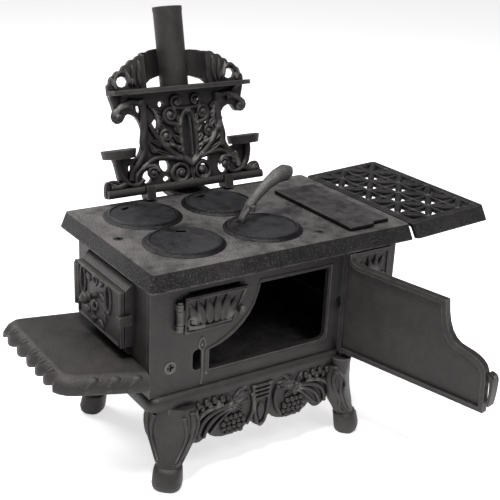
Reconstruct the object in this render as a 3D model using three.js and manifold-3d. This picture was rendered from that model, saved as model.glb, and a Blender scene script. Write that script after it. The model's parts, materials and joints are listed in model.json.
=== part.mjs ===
// Cast iron toy stove: a cooking range of separate castings on a moulded base with four legs.
// Millimetres, X to the right, Y to the back, Z up. The castings are laid out round the middle of
// the cooktop at floor level; the last lines stand the whole stove on the middle of its own outline.
import * as THREE from "three";
import { mergeVertices } from "three/addons/utils/BufferGeometryUtils.js";
import Module from "manifold-3d";

const wasm = await Module();
wasm.setup();

// Driving dimensions of the whole stove
const fit = 0.3; // gap between castings that seat on each other
const plateWall = 3.5; // thickness of the upright body plates
const overrun = 2; // how far a cut runs past the face it opens
const cooktopWidth = 200;
const cooktopDepth = 127;
const cooktopHeight = 152; // cooking surface above the floor
const cooktopThickness = 3.5;
const rimDrop = 11; // flared rim below the cooking surface
const rimFlare = 3;
const rimWall = 2.6;
const cornerRadius = 2.5;

// Body box: how far its walls stand inside the cooktop's edges
const bodyInsetLeft = 2;
const bodyInsetRight = 4;
const bodyInsetFront = 7.5;
const bodyInsetBack = 17.5;
const waistInset = 34; // lower right wall stands this far inside the upper one
const waistRise = 15; // the right side starts to swell out this far above the base
const shoulderRise = 43; // and reaches its full width here

// Base and legs
const baseHeight = 65; // top of the base moulding
const mouldingHeight = 9;
const mouldingProud = 4;
const baseOverhangRight = 6.5;
const baseCorner = 8;
const baseWall = 4.2;
const flangeWidth = 12;
const flangeThickness = 3.5;
const skirtDrop = 32;
const skirtHalfWidth = 70;
const skirtWall = 3.5;
const kneeWidth = 30;
const kneeDepth = 19;
const kneeInsetLeft = 20.5; // knee centres from the ends of the base
const kneeInsetRight = 15.5;
const kneeSetback = 7; // knee centres within the front and back of the base
const footSplayX = 7.5;
const footSplayY = 8;
const legTurn = THREE.MathUtils.degToRad(43); // the broad faces look out over the corners
const studRadius = 2.5;
const spigotWidth = 16;
const spigotDepth = 9;

// Openings in the front plate
const ovenLeft = 43; // from the body's left side
const ovenRight = 136;
const ovenSill = 10.5; // above the base
const ovenFromTop = 20; // below the underside of the cooktop
const fireLeft = 27;
const fireWidth = 38;
const fireSill = 44;
const fireFromTop = 15.5;
const damperSlotAt = 34.5;
const damperSlotSill = 12;
const damperSlotHeight = 15;
const damperSlotWidth = 7.5;

// Fixed panel at the right of the front, the twin of the fire door
const reliefProud = 1.4;
const reliefBorder = 3;
const reliefWidth = 32;
const reliefHeight = 28;
const reliefFromRight = 5;
const reliefFromTop = 13;

// Oven door
const ovenDoorThickness = 3;
const ovenDoorWidth = 113;
const ovenDoorFromTop = 16.1; // its straight top below the underside of the cooktop
const ovenDoorGap = 2.9; // door plate in front of the front plate
const ovenDoorRim = 2.1;
const hingeRollRadius = 2.8; // thick rounded edge that the door turns on
const ovenDoorRimWidth = 3.2;
const ovenHingeAt = 148.5; // hinge line from the body's left side
const ovenDoorFromBase = 0.9;
const ovenDoorOpen = THREE.MathUtils.degToRad(103.7);
const hingeBossRadius = 8;
const hingeBossHeight = 13;
const lowerPinRadius = 2.2;
const lowerPinLength = 8;
const upperPinRadius = 1.4;
const upperPinLength = 13;
const pinPlay = 0.35;
const catchLength = 4.2;
const catchThickness = 2.4;
const catchDrop = 22;

// Fire door in the front plate
const fireDoorThickness = 2.6;
const fireDoorGap = 1.2;
const doorFieldSunk = 0.6; // the small doors' fields lie this deep within their borders
const fireDoorWidth = 46;
const fireDoorLap = 0.5; // taller than its opening
const smallPinRadius = 1.1;
const knuckleRadius = 2.4;
const knuckleHeight = 4.2;

// Firebox on the left end
const fireboxProud = 6.5;
const fireboxFront = 20; // from the body's front
const fireboxLength = 64;
const fireboxSill = 29;
const fireboxFromRim = 9; // its top below the rim of the cooktop
const fireboxSlope = 5;
const fireboxFrame = 4;
const fireboxDoorThickness = 2.6;
const fireboxDoorGap = 0.8;
const knobRadius = 4;
const knobLength = 8;

// Hearth shelf on the left
const hearthRise = 19.5; // flat of the shelf above the base
const hearthReach = 49.5;
const hearthInset = 3.5; // its ends stand inside the body's front and back
const hearthTaperFront = 10; // the flat narrows this much at the front
const hearthTaperBack = 1; // and this much at the back
const hearthThickness = 3;
const hearthRimDrop = 11.5;
const hearthRimReach = 8;
const hearthTilt = THREE.MathUtils.degToRad(6.5);
const hearthCorner = 6; // radius of its two outer corners
const flutePitch = 14.5;
const fluteDepth = 2.2;
const tabWidth = 10;
const tabThickness = 2.4;
const tabReach = 4.6;
const tabPlay = 0.6;

// Openwork side shelf on the right
const sideShelfWidth = 68.5;
const sideShelfLength = 123;
const sideShelfThickness = 3;
const sideShelfBorder = 5;
const sideShelfGap = 1.5;
const sideShelfForward = 3; // its middle stands this far in front of the cooktop's
const sideShelfTilt = THREE.MathUtils.degToRad(3);
const latticePitch = 15.4;
const latticeBar = 2.4; // straight bars between the squares of the lattice
const latticeLeaf = 3.6; // slanted leaf across each square

// Lids and the long cover
const lidRadius = 27;
const lidProud = 2.6;
const lidSpigot = 3;
const lidRingHeight = 0.5;
const holeRadius = 24;
const frontLidsY = -25;
const rearLidsY = 31;
const leftLidsX = -57;
const rightLidsX = 3.5;
const socketWidth = 6.5;
const socketDepth = 3.2;
const socketSunk = 1.4;
const socketRadius = 15.5; // lifter socket from the lid's middle
const coverWidth = 36.5;
const coverLength = 90;
const coverProud = 2.4;
const coverFromRight = 11;
const coverFromFront = 6;
const coverLip = 5;

// Lid lifter
const lifterRise = 29;
const lifterRun = 42;
const lifterBlade = 5.2;
const lifterBladeThickness = 1.6;
const lifterGrip = 4.7;
const lifterTurn = THREE.MathUtils.degToRad(7);

// Backsplash, its shelf, crown and the stovepipe
const backsplashLean = THREE.MathUtils.degToRad(13);
const backsplashX = -4.4;
const crownOffset = 3.4; // the pipe, crown and upper shelf stand this far right of the panel's middle
const backsplashSetback = 2.1; // panel's face in front of the cooktop's back edge
const footAcross = 32.5; // middles of its two feet
const footHalfWidth = 3.4;
const footForward = 6.5; // feet reach this far in front of the panel's face
const footScrewForward = 2.2;
const panelThickness = 3.6;
const panelHalfWidth = 66;
const panelHeight = 74.5;
const highShelfThickness = 3.2;
const highShelfReach = 11; // in front of the panel's face
const highShelfHalfWidth = 56;
const crownSetback = 6;
const crownThickness = 3.2;
const crownHeight = 24.5;
const nicheHalfWidth = 28;
const nicheDepth = 23;
const nicheWall = 2.6;
const trivetRadius = 12.8;
const trivetThickness = 6;
const trivetAcross = 51.7;
const trivetHeight = 37.3;
const pipeRadius = 10.5;
const pipeWall = 1.6;
const pipeOffset = 5; // the pipe and the slot in front of it, right of the panel's middle
const pipeLength = 134;
const pipePlay = 0.7;
const pipeCollar = 3; // collar on the cooktop round the pipe's foot

// Fasteners
const boltRadius = 2;
const boltHeadRadius = 4.3;
const boltHeadHeight = 2.2;
const nutRadius = 4.4;
const nutThickness = 3.2;
const screwRadius = 1.5;
const screwHeadRadius = 3.4;
const screwHeadHeight = 2;
const footScrewHeadRadius = 2.5; // clears the rim behind the backsplash's feet
const screwLength = 13;
const footScrewBite = 4.5; // foot screws reach this far into the backsplash's feet
const lugSize = 10;
const lugHeight = 10;

// Places worked out from the driving dimensions
const topUnderside = cooktopHeight - cooktopThickness;
const bodyLeft = bodyInsetLeft - cooktopWidth / 2;
const bodyRight = cooktopWidth / 2 - bodyInsetRight;
const bodyFront = bodyInsetFront - cooktopDepth / 2;
const bodyBack = cooktopDepth / 2 - bodyInsetBack;
const bodyFloor = baseHeight + fit;
const waistHeight = baseHeight + waistRise;
const shoulderHeight = baseHeight + shoulderRise;
const ovenHeight = topUnderside - ovenFromTop - baseHeight - ovenSill;
const fireHeight = topUnderside - fireFromTop - baseHeight - fireSill;
const fireDoorHeight = fireHeight + fireDoorLap;
const ovenDoorHeight = topUnderside - ovenDoorFromTop - baseHeight - ovenDoorFromBase;
const fireboxHeight = cooktopHeight - rimDrop - fireboxFromRim - baseHeight - fireboxSill;
const hearthHeight = baseHeight + hearthRise;
const bodyTop = topUnderside - fit;
const waistX = bodyRight - waistInset;
const baseLeft = bodyLeft - mouldingProud + baseWall / 2;
const baseRight = waistX + baseOverhangRight;
const baseFront = bodyFront - mouldingProud;
const baseBack = bodyBack + mouldingProud;
const baseMiddle = (baseLeft + baseRight) / 2;
const baseBottom = baseHeight - mouldingHeight;
const hingeX = bodyLeft + ovenHingeAt;
const hingeY = bodyFront - ovenDoorGap - ovenDoorThickness / 2;

// Shapes that every casting uses

// A closed mesh as a solid that can be joined and cut
function solid(geometry) {
  const bare = geometry.clone();
  bare.deleteAttribute("normal");
  bare.deleteAttribute("uv");
  const merged = mergeVertices(bare, 1e-4);
  const mesh = new wasm.Mesh({
    numProp: 3,
    vertProperties: new Float32Array(merged.attributes.position.array),
    triVerts: new Uint32Array(merged.index.array),
  });
  return new wasm.Manifold(mesh);
}

// A solid carried to another place
function moved(manifold, matrix) {
  return solid(geometryOf(manifold).applyMatrix4(matrix));
}

function join(...pieces) {
  return pieces.reduce((whole, piece) => whole.add(piece));
}

function cut(whole, ...tools) {
  return tools.reduce((rest, tool) => rest.subtract(tool), whole);
}

function geometryOf(manifold) {
  const mesh = manifold.getMesh();
  const geometry = new THREE.BufferGeometry();
  geometry.setAttribute("position", new THREE.BufferAttribute(new Float32Array(mesh.vertProperties), 3));
  geometry.setIndex(new THREE.BufferAttribute(new Uint32Array(mesh.triVerts), 1));
  const flat = geometry.toNonIndexed();
  flat.computeVertexNormals();
  return flat;
}

function block(x0, x1, y0, y1, z0, z1) {
  const geometry = new THREE.BoxGeometry(x1 - x0, y1 - y0, z1 - z0);
  geometry.translate((x0 + x1) / 2, (y0 + y1) / 2, (z0 + z1) / 2);
  return solid(geometry);
}

// Round bar along Z from z0 to z1; sides gives its facets
function bar(radius, x, y, z0, z1, sides = 20, topRadius = radius) {
  const geometry = new THREE.CylinderGeometry(topRadius, radius, z1 - z0, sides);
  geometry.rotateX(Math.PI / 2);
  geometry.translate(x, y, (z0 + z1) / 2);
  return solid(geometry);
}

// Round bar along Y from y0 to y1
function barAlongY(radius, x, z, y0, y1, sides = 20, farRadius = radius) {
  const geometry = new THREE.CylinderGeometry(farRadius, radius, y1 - y0, sides);
  geometry.translate(x, (y0 + y1) / 2, z);
  return solid(geometry);
}

// Flat casting drawn in X and Y
function lying(shape, z, thickness, segments = 6) {
  const options = { depth: thickness, bevelEnabled: false, curveSegments: segments };
  const geometry = new THREE.ExtrudeGeometry(shape, options);
  geometry.translate(0, 0, z);
  return solid(geometry);
}

// Upright casting drawn in X and Z, from its front face y backwards
function standing(shape, y, thickness, segments = 6) {
  const options = { depth: thickness, bevelEnabled: false, curveSegments: segments };
  const geometry = new THREE.ExtrudeGeometry(shape, options);
  geometry.rotateX(Math.PI / 2);
  geometry.translate(0, y + thickness, 0);
  return solid(geometry);
}

// Upright casting drawn in Y and Z, from its left face x to the right
function endways(shape, x, thickness, segments = 6) {
  const options = { depth: thickness, bevelEnabled: false, curveSegments: segments };
  const geometry = new THREE.ExtrudeGeometry(shape, options);
  const alongY = new THREE.Vector3(0, 1, 0);
  const alongZ = new THREE.Vector3(0, 0, 1);
  const alongX = new THREE.Vector3(1, 0, 0);
  geometry.applyMatrix4(new THREE.Matrix4().makeBasis(alongY, alongZ, alongX));
  geometry.translate(x, 0, 0);
  return solid(geometry);
}

// Closed skin through rings of equal point counts, capped at both ends
function loft(rings) {
  const count = rings[0].length;
  const position = [];
  const index = [];
  rings.forEach((ring) => ring.forEach((point) => position.push(point.x, point.y, point.z)));
  const ends = [rings[0], rings[rings.length - 1]];
  ends.forEach((ring) => {
    const centre = ring.reduce((sum, point) => sum.add(point), new THREE.Vector3());
    centre.divideScalar(count);
    position.push(centre.x, centre.y, centre.z);
  });
  const firstCentre = rings.length * count;
  const lastRing = (rings.length - 1) * count;
  for (let i = 0; i < count; i += 1) {
    const next = (i + 1) % count;
    for (let r = 0; r < rings.length - 1; r += 1) {
      const low = r * count;
      const high = low + count;
      index.push(low + i, low + next, high + next, low + i, high + next, high + i);
    }
    index.push(firstCentre, next, i, firstCentre + 1, lastRing + i, lastRing + next);
  }
  const geometry = new THREE.BufferGeometry();
  geometry.setAttribute("position", new THREE.BufferAttribute(new Float32Array(position), 3));
  geometry.setIndex(index);
  return solid(geometry);
}

// Level ring between an ellipse and a rectangle; a higher power is squarer
function ovalRing(x, y, z, halfWidth, halfDepth, power, count) {
  return Array.from({ length: count }, (_, i) => {
    const angle = (2 * Math.PI * i) / count;
    const c = Math.cos(angle);
    const s = Math.sin(angle);
    const dx = halfWidth * Math.sign(c) * Math.abs(c) ** (2 / power);
    const dy = halfDepth * Math.sign(s) * Math.abs(s) ** (2 / power);
    return new THREE.Vector3(x + dx, y + dy, z);
  });
}

// Level ring round a rectangle with rounded corners
function cornerRing(x0, x1, y0, y1, radius, z, steps) {
  const corners = [
    [x1 - radius, y1 - radius, 0],
    [x0 + radius, y1 - radius, 1],
    [x0 + radius, y0 + radius, 2],
    [x1 - radius, y0 + radius, 3],
  ];
  return corners.flatMap(([x, y, quarter]) =>
    Array.from({ length: steps + 1 }, (_, i) => {
      const angle = ((quarter + i / steps) * Math.PI) / 2;
      return new THREE.Vector3(x + radius * Math.cos(angle), y + radius * Math.sin(angle), z);
    }),
  );
}

function rectangle(x0, x1, y0, y1) {
  const shape = new THREE.Shape();
  shape.moveTo(x0, y0);
  shape.lineTo(x1, y0);
  shape.lineTo(x1, y1);
  shape.lineTo(x0, y1);
  return shape;
}

// Half an outline, drawn to the right of the middle line, closed by its mirror image
function mirrored(path, segments) {
  const right = path.getPoints(segments);
  const left = right.filter((point) => point.x > 1e-6).reverse();
  return new THREE.Shape([...right, ...left.map((point) => new THREE.Vector2(-point.x, point.y))]);
}

function ellipse(x, y, halfWidth, halfHeight, turn = 0) {
  const shape = new THREE.Shape();
  shape.absellipse(x, y, halfWidth, halfHeight, 0, 2 * Math.PI, false, turn);
  return shape;
}

// Finishes of the real castings
const castIron = new THREE.MeshStandardMaterial({ color: 0x353332, roughness: 0.62, metalness: 0.35 });
const roughIron = new THREE.MeshStandardMaterial({ color: 0x3d3b3a, roughness: 0.78, metalness: 0.3 });
const smoothIron = new THREE.MeshStandardMaterial({ color: 0x33343a, roughness: 0.5, metalness: 0.4 });
const screwSteel = new THREE.MeshStandardMaterial({ color: 0x4a4846, roughness: 0.4, metalness: 0.8 });

const stove = new THREE.Group();

function place(name, manifold, material, parent = stove) {
  const mesh = new THREE.Mesh(geometryOf(manifold), material);
  mesh.name = name;
  parent.add(mesh);
  return mesh;
}

// A group whose own frame starts at a point, for castings that sit tilted or turned
function frameAt(x, y, z) {
  const group = new THREE.Group();
  group.position.set(x, y, z);
  stove.add(group);
  return group;
}

// Legs: rows of height, splay, width and depth shares from the knee down to the sole
const legShares = [
  [0, 1, 0.54, 0.7],
  [0.03, 1, 0.63, 0.86],
  [0.09, 1, 0.67, 0.92],
  [0.22, 0.88, 0.64, 0.88],
  [0.265, 0.78, 0.6, 0.82],
  [0.28, 0.74, 0.53, 0.72],
  [0.36, 0.58, 0.62, 0.76],
  [0.48, 0.34, 0.8, 0.86],
  [0.61, 0.12, 1.03, 0.96],
  [0.76, 0.02, 1.16, 1],
  [0.89, 0, 1.12, 0.96],
  [1, 0, 0.98, 0.86],
];
const legPower = 2.6;
const legSides = 16;

function kneeX(side) {
  return side < 0 ? baseLeft + kneeInsetLeft : baseRight - kneeInsetRight;
}

function kneeY(end) {
  const middle = (baseFront + baseBack) / 2;
  return middle + end * ((baseBack - baseFront) / 2 - kneeSetback);
}

// The leg's cast body; grow makes the larger copy that clears it
function legBody(side, end, grow) {
  const top = baseBottom - fit;
  const upright = new THREE.Vector3(0, 0, 1);
  const rings = legShares.map(([heightShare, splayShare, widthShare, depthShare]) => {
    const x = kneeX(side) + side * footSplayX * splayShare;
    const y = kneeY(end) + end * footSplayY * splayShare;
    const z = top * heightShare + (heightShare === 1 ? grow : 0);
    const halfWidth = (kneeWidth / 2) * widthShare + grow;
    const halfDepth = (kneeDepth / 2) * depthShare + grow;
    const level = ovalRing(0, 0, 0, halfWidth, halfDepth, legPower, legSides);
    const centre = new THREE.Vector3(x, y, z);
    return level.map((point) => point.applyAxisAngle(upright, -side * end * legTurn).add(centre));
  });
  return loft(rings);
}

// Cylindrical boss on the base that carries the oven door's lower pin
function hingeBoss(grow) {
  const top = baseHeight - ovenDoorRimWidth;
  const foot = top - hingeBossHeight - grow;
  const behind = block(
    hingeX - hingeBossRadius * 2, hingeX + hingeBossRadius * 2,
    baseFront + baseWall + grow, hingeY + hingeBossRadius * 2, foot - overrun, top + overrun,
  );
  const slim = hingeBossRadius - ovenDoorRim + grow;
  return cut(bar(slim, hingeX, hingeY, foot, top, 24, hingeBossRadius + grow), behind);
}

function leg(side, end) {
  const x = kneeX(side);
  const y = kneeY(end);
  const flangeBottom = baseHeight - flangeThickness;
  const inside = baseWall + fit;
  const outer = end < 0 ? baseFront + inside : baseBack - inside;
  const inner = outer - end * spigotDepth;
  const low = baseBottom - overrun;
  const high = flangeBottom - fit;
  const half = spigotWidth / 2;
  const spigot = block(x - half, x + half, Math.min(outer, inner), Math.max(outer, inner), low, high);
  const stud = bar(studRadius, x, (outer + inner) / 2, low, baseHeight - fit, 12);
  const body = join(legBody(side, end, 0), spigot, stud);
  const carriesBoss = side > 0 && end < 0;
  return carriesBoss ? cut(body, hingeBoss(fit)) : body;
}

// Scalloped lower edge of the front skirt, in shares of half its width and of its drop
const skirtLobeShares = {
  keystone: [0.07, 0.9],
  innerCusp: [0.11, 0.76],
  bigLobe: [0.16, 1.05, 0.54, 1.08],
  outerCusp: [0.59, 0.76],
  smallLobe: [0.63, 1.03, 0.76, 1.02],
  flank: [0.81, 0.72],
};

function skirtShape() {
  const across = (share) => skirtHalfWidth * share;
  const down = (share) => baseBottom - skirtDrop * share;
  const path = new THREE.Path();
  const { keystone, innerCusp, bigLobe, outerCusp, smallLobe, flank } = skirtLobeShares;
  path.moveTo(0, baseBottom + overrun);
  path.lineTo(skirtHalfWidth, baseBottom + overrun);
  path.lineTo(skirtHalfWidth, down(flank[1]));
  path.lineTo(across(flank[0]), down(flank[1]));
  path.bezierCurveTo(
    across(smallLobe[2]), down(smallLobe[3]),
    across(smallLobe[0]), down(smallLobe[1]),
    across(outerCusp[0]), down(outerCusp[1]),
  );
  path.bezierCurveTo(
    across(bigLobe[2]), down(bigLobe[3]),
    across(bigLobe[0]), down(bigLobe[1]),
    across(innerCusp[0]), down(innerCusp[1]),
  );
  path.lineTo(across(keystone[0]), down(keystone[1]));
  path.lineTo(0, down(1));
  return mirrored(path, 8);
}

// Moulding section from the bottom up, as shares of its height and of its proudness
const mouldingShares = [
  [0, -0.2],
  [0.18, 0],
  [0.62, 0],
  [0.86, -0.2],
  [1, -0.6],
];

function baseFrame() {
  const rings = mouldingShares.map(([heightShare, proudShare]) => {
    const out = mouldingProud * proudShare;
    const z = baseBottom + mouldingHeight * heightShare;
    return cornerRing(baseLeft - out, baseRight + out, baseFront - out, baseBack + out, baseCorner, z, 4);
  });
  const within = (inset, z0, z1) =>
    block(baseLeft + inset, baseRight - inset, baseFront + inset, baseBack - inset, z0, z1);
  const underside = within(baseWall, baseBottom - overrun, baseHeight - flangeThickness);
  const opening = within(flangeWidth, baseBottom - overrun, baseHeight + overrun);
  const skirt = standing(skirtShape(), baseFront + fit, skirtWall);
  const skirtAt = moved(skirt, new THREE.Matrix4().makeTranslation(baseMiddle, 0, 0));
  const pinHole = bar(
    lowerPinRadius + pinPlay, hingeX, hingeY,
    baseHeight - lowerPinLength - overrun, baseHeight + overrun, 16,
  );
  const ring = cut(loft(rings), underside, opening);
  let frame = join(ring, skirtAt);
  for (const side of [-1, 1]) {
    for (const end of [-1, 1]) {
      const outer = end < 0 ? baseFront + baseWall + fit : baseBack - baseWall - fit;
      const studY = outer - (end * spigotDepth) / 2;
      const studHole = bar(studRadius + fit, kneeX(side), studY, baseBottom, baseHeight + overrun, 12);
      frame = cut(frame, legBody(side, end, fit), studHole);
    }
  }
  return cut(join(frame, hingeBoss(0)), pinHole);
}

place("base_frame", baseFrame(), castIron);
for (const [sideName, side] of [["left", -1], ["right", 1]]) {
  for (const [endName, end] of [["front", -1], ["back", 1]]) {
    place(`leg_${endName}_${sideName}`, leg(side, end), castIron);
  }
}

// Right side of the body, from the waist out to the shoulder; share points of the swell
const swellShares = { low: [0, 0.62], high: [1, 0.3] };

function swell(path, x0, x1, z0, z1) {
  const { low, high } = swellShares;
  const at = ([xShare, zShare]) => [x0 + (x1 - x0) * xShare, z0 + (z1 - z0) * zShare];
  path.bezierCurveTo(...at(low), ...at(high), x1, z1);
}

function bodyOutline() {
  const shape = new THREE.Shape();
  shape.moveTo(bodyLeft, bodyFloor);
  shape.lineTo(waistX, bodyFloor);
  shape.lineTo(waistX, waistHeight);
  swell(shape, waistX, bodyRight, waistHeight, shoulderHeight);
  shape.lineTo(bodyRight, bodyTop);
  shape.lineTo(bodyLeft, bodyTop);
  return shape;
}

// Oven opening and the S-shaped side that it shares with its door, in shares of its size
const ovenStepShares = { step: 0.27, topLeft: 0.4, bend: [0.2, 0.33, 0.376, 0.61], corner: 0.06 };

function ovenOpening() {
  const x0 = bodyLeft + ovenLeft;
  const x1 = bodyLeft + ovenRight;
  const z0 = baseHeight + ovenSill;
  const width = x1 - x0;
  const { step, topLeft, bend, corner } = ovenStepShares;
  const radius = width * corner;
  const shape = new THREE.Shape();
  shape.moveTo(x0, z0);
  shape.lineTo(x1 - radius, z0);
  shape.quadraticCurveTo(x1, z0, x1, z0 + radius);
  shape.lineTo(x1, z0 + ovenHeight);
  shape.lineTo(x0 + width * topLeft, z0 + ovenHeight);
  shape.bezierCurveTo(
    x0 + width * bend[2], z0 + ovenHeight * bend[3],
    x0 + width * bend[0], z0 + ovenHeight * bend[1],
    x0, z0 + ovenHeight * step,
  );
  return shape;
}

const fireSlantShare = 0.25; // the fire opening and its door lean in towards the oven

function fireOpening() {
  const x0 = bodyLeft + fireLeft;
  const z0 = baseHeight + fireSill;
  const shape = new THREE.Shape();
  shape.moveTo(x0, z0);
  shape.lineTo(x0 + fireWidth * (1 - fireSlantShare), z0);
  shape.lineTo(x0 + fireWidth, z0 + fireHeight);
  shape.lineTo(x0, z0 + fireHeight);
  return shape;
}

function damperSlot() {
  const x = bodyLeft + damperSlotAt;
  const radius = damperSlotWidth / 2;
  const z0 = baseHeight + damperSlotSill + radius;
  const z1 = z0 + damperSlotHeight - damperSlotWidth;
  const shape = new THREE.Shape();
  shape.absarc(x, z1, radius, 0, Math.PI);
  shape.absarc(x, z0, radius, Math.PI, 2 * Math.PI);
  return shape;
}

// Tie bolts run from the front plate to nuts behind the back plate
const boltPlaces = {
  left: [bodyLeft + boltHeadRadius * 3.4, baseHeight + ovenSill + boltHeadRadius * 1.9],
  right: [hingeX - fit * 2, baseHeight + ovenHeight * 0.66],
};
const boltSideClearance = fit;

function boltHead(x, z, grow) {
  return barAlongY(
    boltHeadRadius + grow, x, z,
    bodyFront - fit - grow, bodyFront + boltHeadHeight + grow, 20, boltRadius + grow,
  );
}

function boltHoles(y0, y1) {
  const radius = boltRadius + boltSideClearance;
  return Object.values(boltPlaces).map(([x, z]) => barAlongY(radius, x, z, y0, y1, 14));
}

// Hinge of the fire door, to the left of its opening
const fireHingeX = bodyLeft + fireLeft - knuckleRadius * 3.1;
const fireHingeY = bodyFront - fireDoorGap - fireDoorThickness / 2;
const fireDoorBottom = baseHeight + fireSill - fireDoorGap * 2.4;
const fireKnuckleShares = [0.2, 0.78]; // middles of the two fixed knuckles up the door

function knuckleSpan(bottom, height, share) {
  const middle = bottom + height * share;
  return [middle - knuckleHeight / 2, middle + knuckleHeight / 2];
}

function fixedFireKnuckles() {
  return fireKnuckleShares.map((share) => {
    const [z0, z1] = knuckleSpan(fireDoorBottom, fireDoorHeight, share);
    const web = block(
      fireHingeX - knuckleRadius, fireHingeX + knuckleRadius,
      fireHingeY, bodyFront + overrun, z0, z1,
    );
    return join(bar(knuckleRadius, fireHingeX, fireHingeY, z0, z1, 16), web);
  });
}

// Plain raised panel at the right, the fixed twin of the fire door
function reliefPanel() {
  const x1 = bodyRight - reliefFromRight;
  const x0 = x1 - reliefWidth;
  const z1 = bodyTop - reliefFromTop;
  const z0 = z1 - reliefHeight;
  const y0 = bodyFront - reliefProud;
  const field = block(x0, x1, y0, bodyFront + overrun, z0, z1);
  const sunk = block(
    x0 + reliefBorder, x1 - reliefBorder, y0 - overrun, bodyFront - reliefProud / 2,
    z0 + reliefBorder, z1 - reliefBorder,
  );
  return cut(field, sunk);
}

// Lugs that take the screws through the cooktop
const screwPlaces = {
  left: [bodyLeft + lugSize * 0.72, 0],
  right: [rightLidsX + lidRadius + screwHeadRadius, bodyFront + plateWall + lugSize * 0.48],
};

function screwLug([x, y]) {
  const half = lugSize / 2;
  return block(x - half, x + half, y - half, y + half, bodyTop - lugHeight, bodyTop);
}

function screwHole([x, y], z0, z1) {
  return bar(screwRadius + fit, x, y, z0, z1, 12);
}

function frontPlate() {
  const opened = bodyOutline();
  opened.holes.push(ovenOpening(), fireOpening(), damperSlot());
  const plate = standing(opened, bodyFront, plateWall, 8);
  const lug = screwLug(screwPlaces.right);
  const holes = boltHoles(bodyFront - overrun, bodyFront + plateWall + overrun);
  const sinks = Object.values(boltPlaces).map(([x, z]) => boltHead(x, z, fit));
  const knuckles = join(...fixedFireKnuckles());
  const [z0] = knuckleSpan(fireDoorBottom, fireDoorHeight, fireKnuckleShares[0]);
  const [, z1] = knuckleSpan(fireDoorBottom, fireDoorHeight, fireKnuckleShares[1]);
  const pinWay = bar(smallPinRadius + fit, fireHingeX, fireHingeY, z0 - overrun, z1 + overrun, 12);
  const whole = join(plate, lug, reliefPanel(), knuckles);
  const screwWay = screwHole(screwPlaces.right, topUnderside - screwLength, cooktopHeight);
  return cut(whole, ...holes, ...sinks, pinWay, screwWay);
}

place("front_plate", frontPlate(), castIron);

function backPlate() {
  const plate = standing(bodyOutline(), bodyBack - plateWall, plateWall, 8);
  return cut(plate, ...boltHoles(bodyBack - plateWall - overrun, bodyBack + overrun));
}

place("back_plate", backPlate(), castIron);

const innerFront = bodyFront + plateWall + fit;
const innerBack = bodyBack - plateWall - fit;

function rightEndPlate() {
  const lift = plateWall * 0.62; // keeps the wall even where it slants
  const shape = new THREE.Shape();
  shape.moveTo(waistX - plateWall, bodyFloor);
  shape.lineTo(waistX, bodyFloor);
  shape.lineTo(waistX, waistHeight);
  swell(shape, waistX, bodyRight, waistHeight, shoulderHeight);
  shape.lineTo(bodyRight, bodyTop);
  shape.lineTo(bodyRight - plateWall, bodyTop);
  shape.lineTo(bodyRight - plateWall, shoulderHeight + lift);
  const { low, high } = swellShares;
  const x0 = waistX - plateWall;
  const x1 = bodyRight - plateWall;
  const z0 = waistHeight + lift;
  const z1 = shoulderHeight + lift;
  const at = ([xShare, zShare]) => [x0 + (x1 - x0) * xShare, z0 + (z1 - z0) * zShare];
  shape.bezierCurveTo(...at(high), ...at(low), x0, z0);
  return standing(shape, innerFront, innerBack - innerFront, 8);
}

place("right_end_plate", rightEndPlate(), castIron);

// Firebox: a shallow box cast on the left end plate, open to the firebox inside
const fireboxY0 = bodyFront + fireboxFront;
const fireboxY1 = fireboxY0 + fireboxLength;
const fireboxZ0 = baseHeight + fireboxSill;
const fireboxZ1 = fireboxZ0 + fireboxHeight;
const fireboxFace = bodyLeft - fireboxProud;
const fireboxHingeX = fireboxFace - fireboxDoorGap - fireboxDoorThickness / 2;
const fireboxHingeY = fireboxY1 + knuckleRadius / 2;
const fireboxKnuckleShares = [0.2, 0.85];
const hearthTabShares = [-0.62, 0.62]; // places of the hooks along half the hearth

function fireboxBox() {
  const side = new THREE.Shape();
  side.moveTo(bodyLeft + overrun, fireboxZ0);
  side.lineTo(bodyLeft + overrun, fireboxZ1 + fireboxSlope);
  side.lineTo(bodyLeft, fireboxZ1 + fireboxSlope);
  side.lineTo(fireboxFace, fireboxZ1);
  side.lineTo(fireboxFace, fireboxZ0);
  return standing(side, fireboxY0, fireboxLength);
}

function fixedFireboxKnuckles() {
  return fireboxKnuckleShares.map((share) => {
    const [z0, z1] = knuckleSpan(fireboxZ0, fireboxHeight, share);
    const web = block(
      fireboxHingeX, bodyLeft - fireboxProud / 2,
      fireboxHingeY - knuckleRadius, fireboxHingeY + knuckleRadius, z0, z1,
    );
    return join(bar(knuckleRadius, fireboxHingeX, fireboxHingeY, z0, z1, 16), web);
  });
}

const bodyMiddleY = (bodyFront + bodyBack) / 2;
const hearthHalf = (bodyBack - bodyFront) / 2 - hearthInset;

function hearthSlots() {
  return hearthTabShares.map((share) => {
    const y = bodyMiddleY + hearthHalf * share;
    const half = tabWidth / 2 + tabPlay;
    const drop = hearthThickness + tabPlay;
    return block(
      bodyLeft - overrun, bodyLeft + plateWall + overrun, y - half, y + half,
      hearthHeight - drop - tabPlay, hearthHeight + tabPlay,
    );
  });
}

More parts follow.
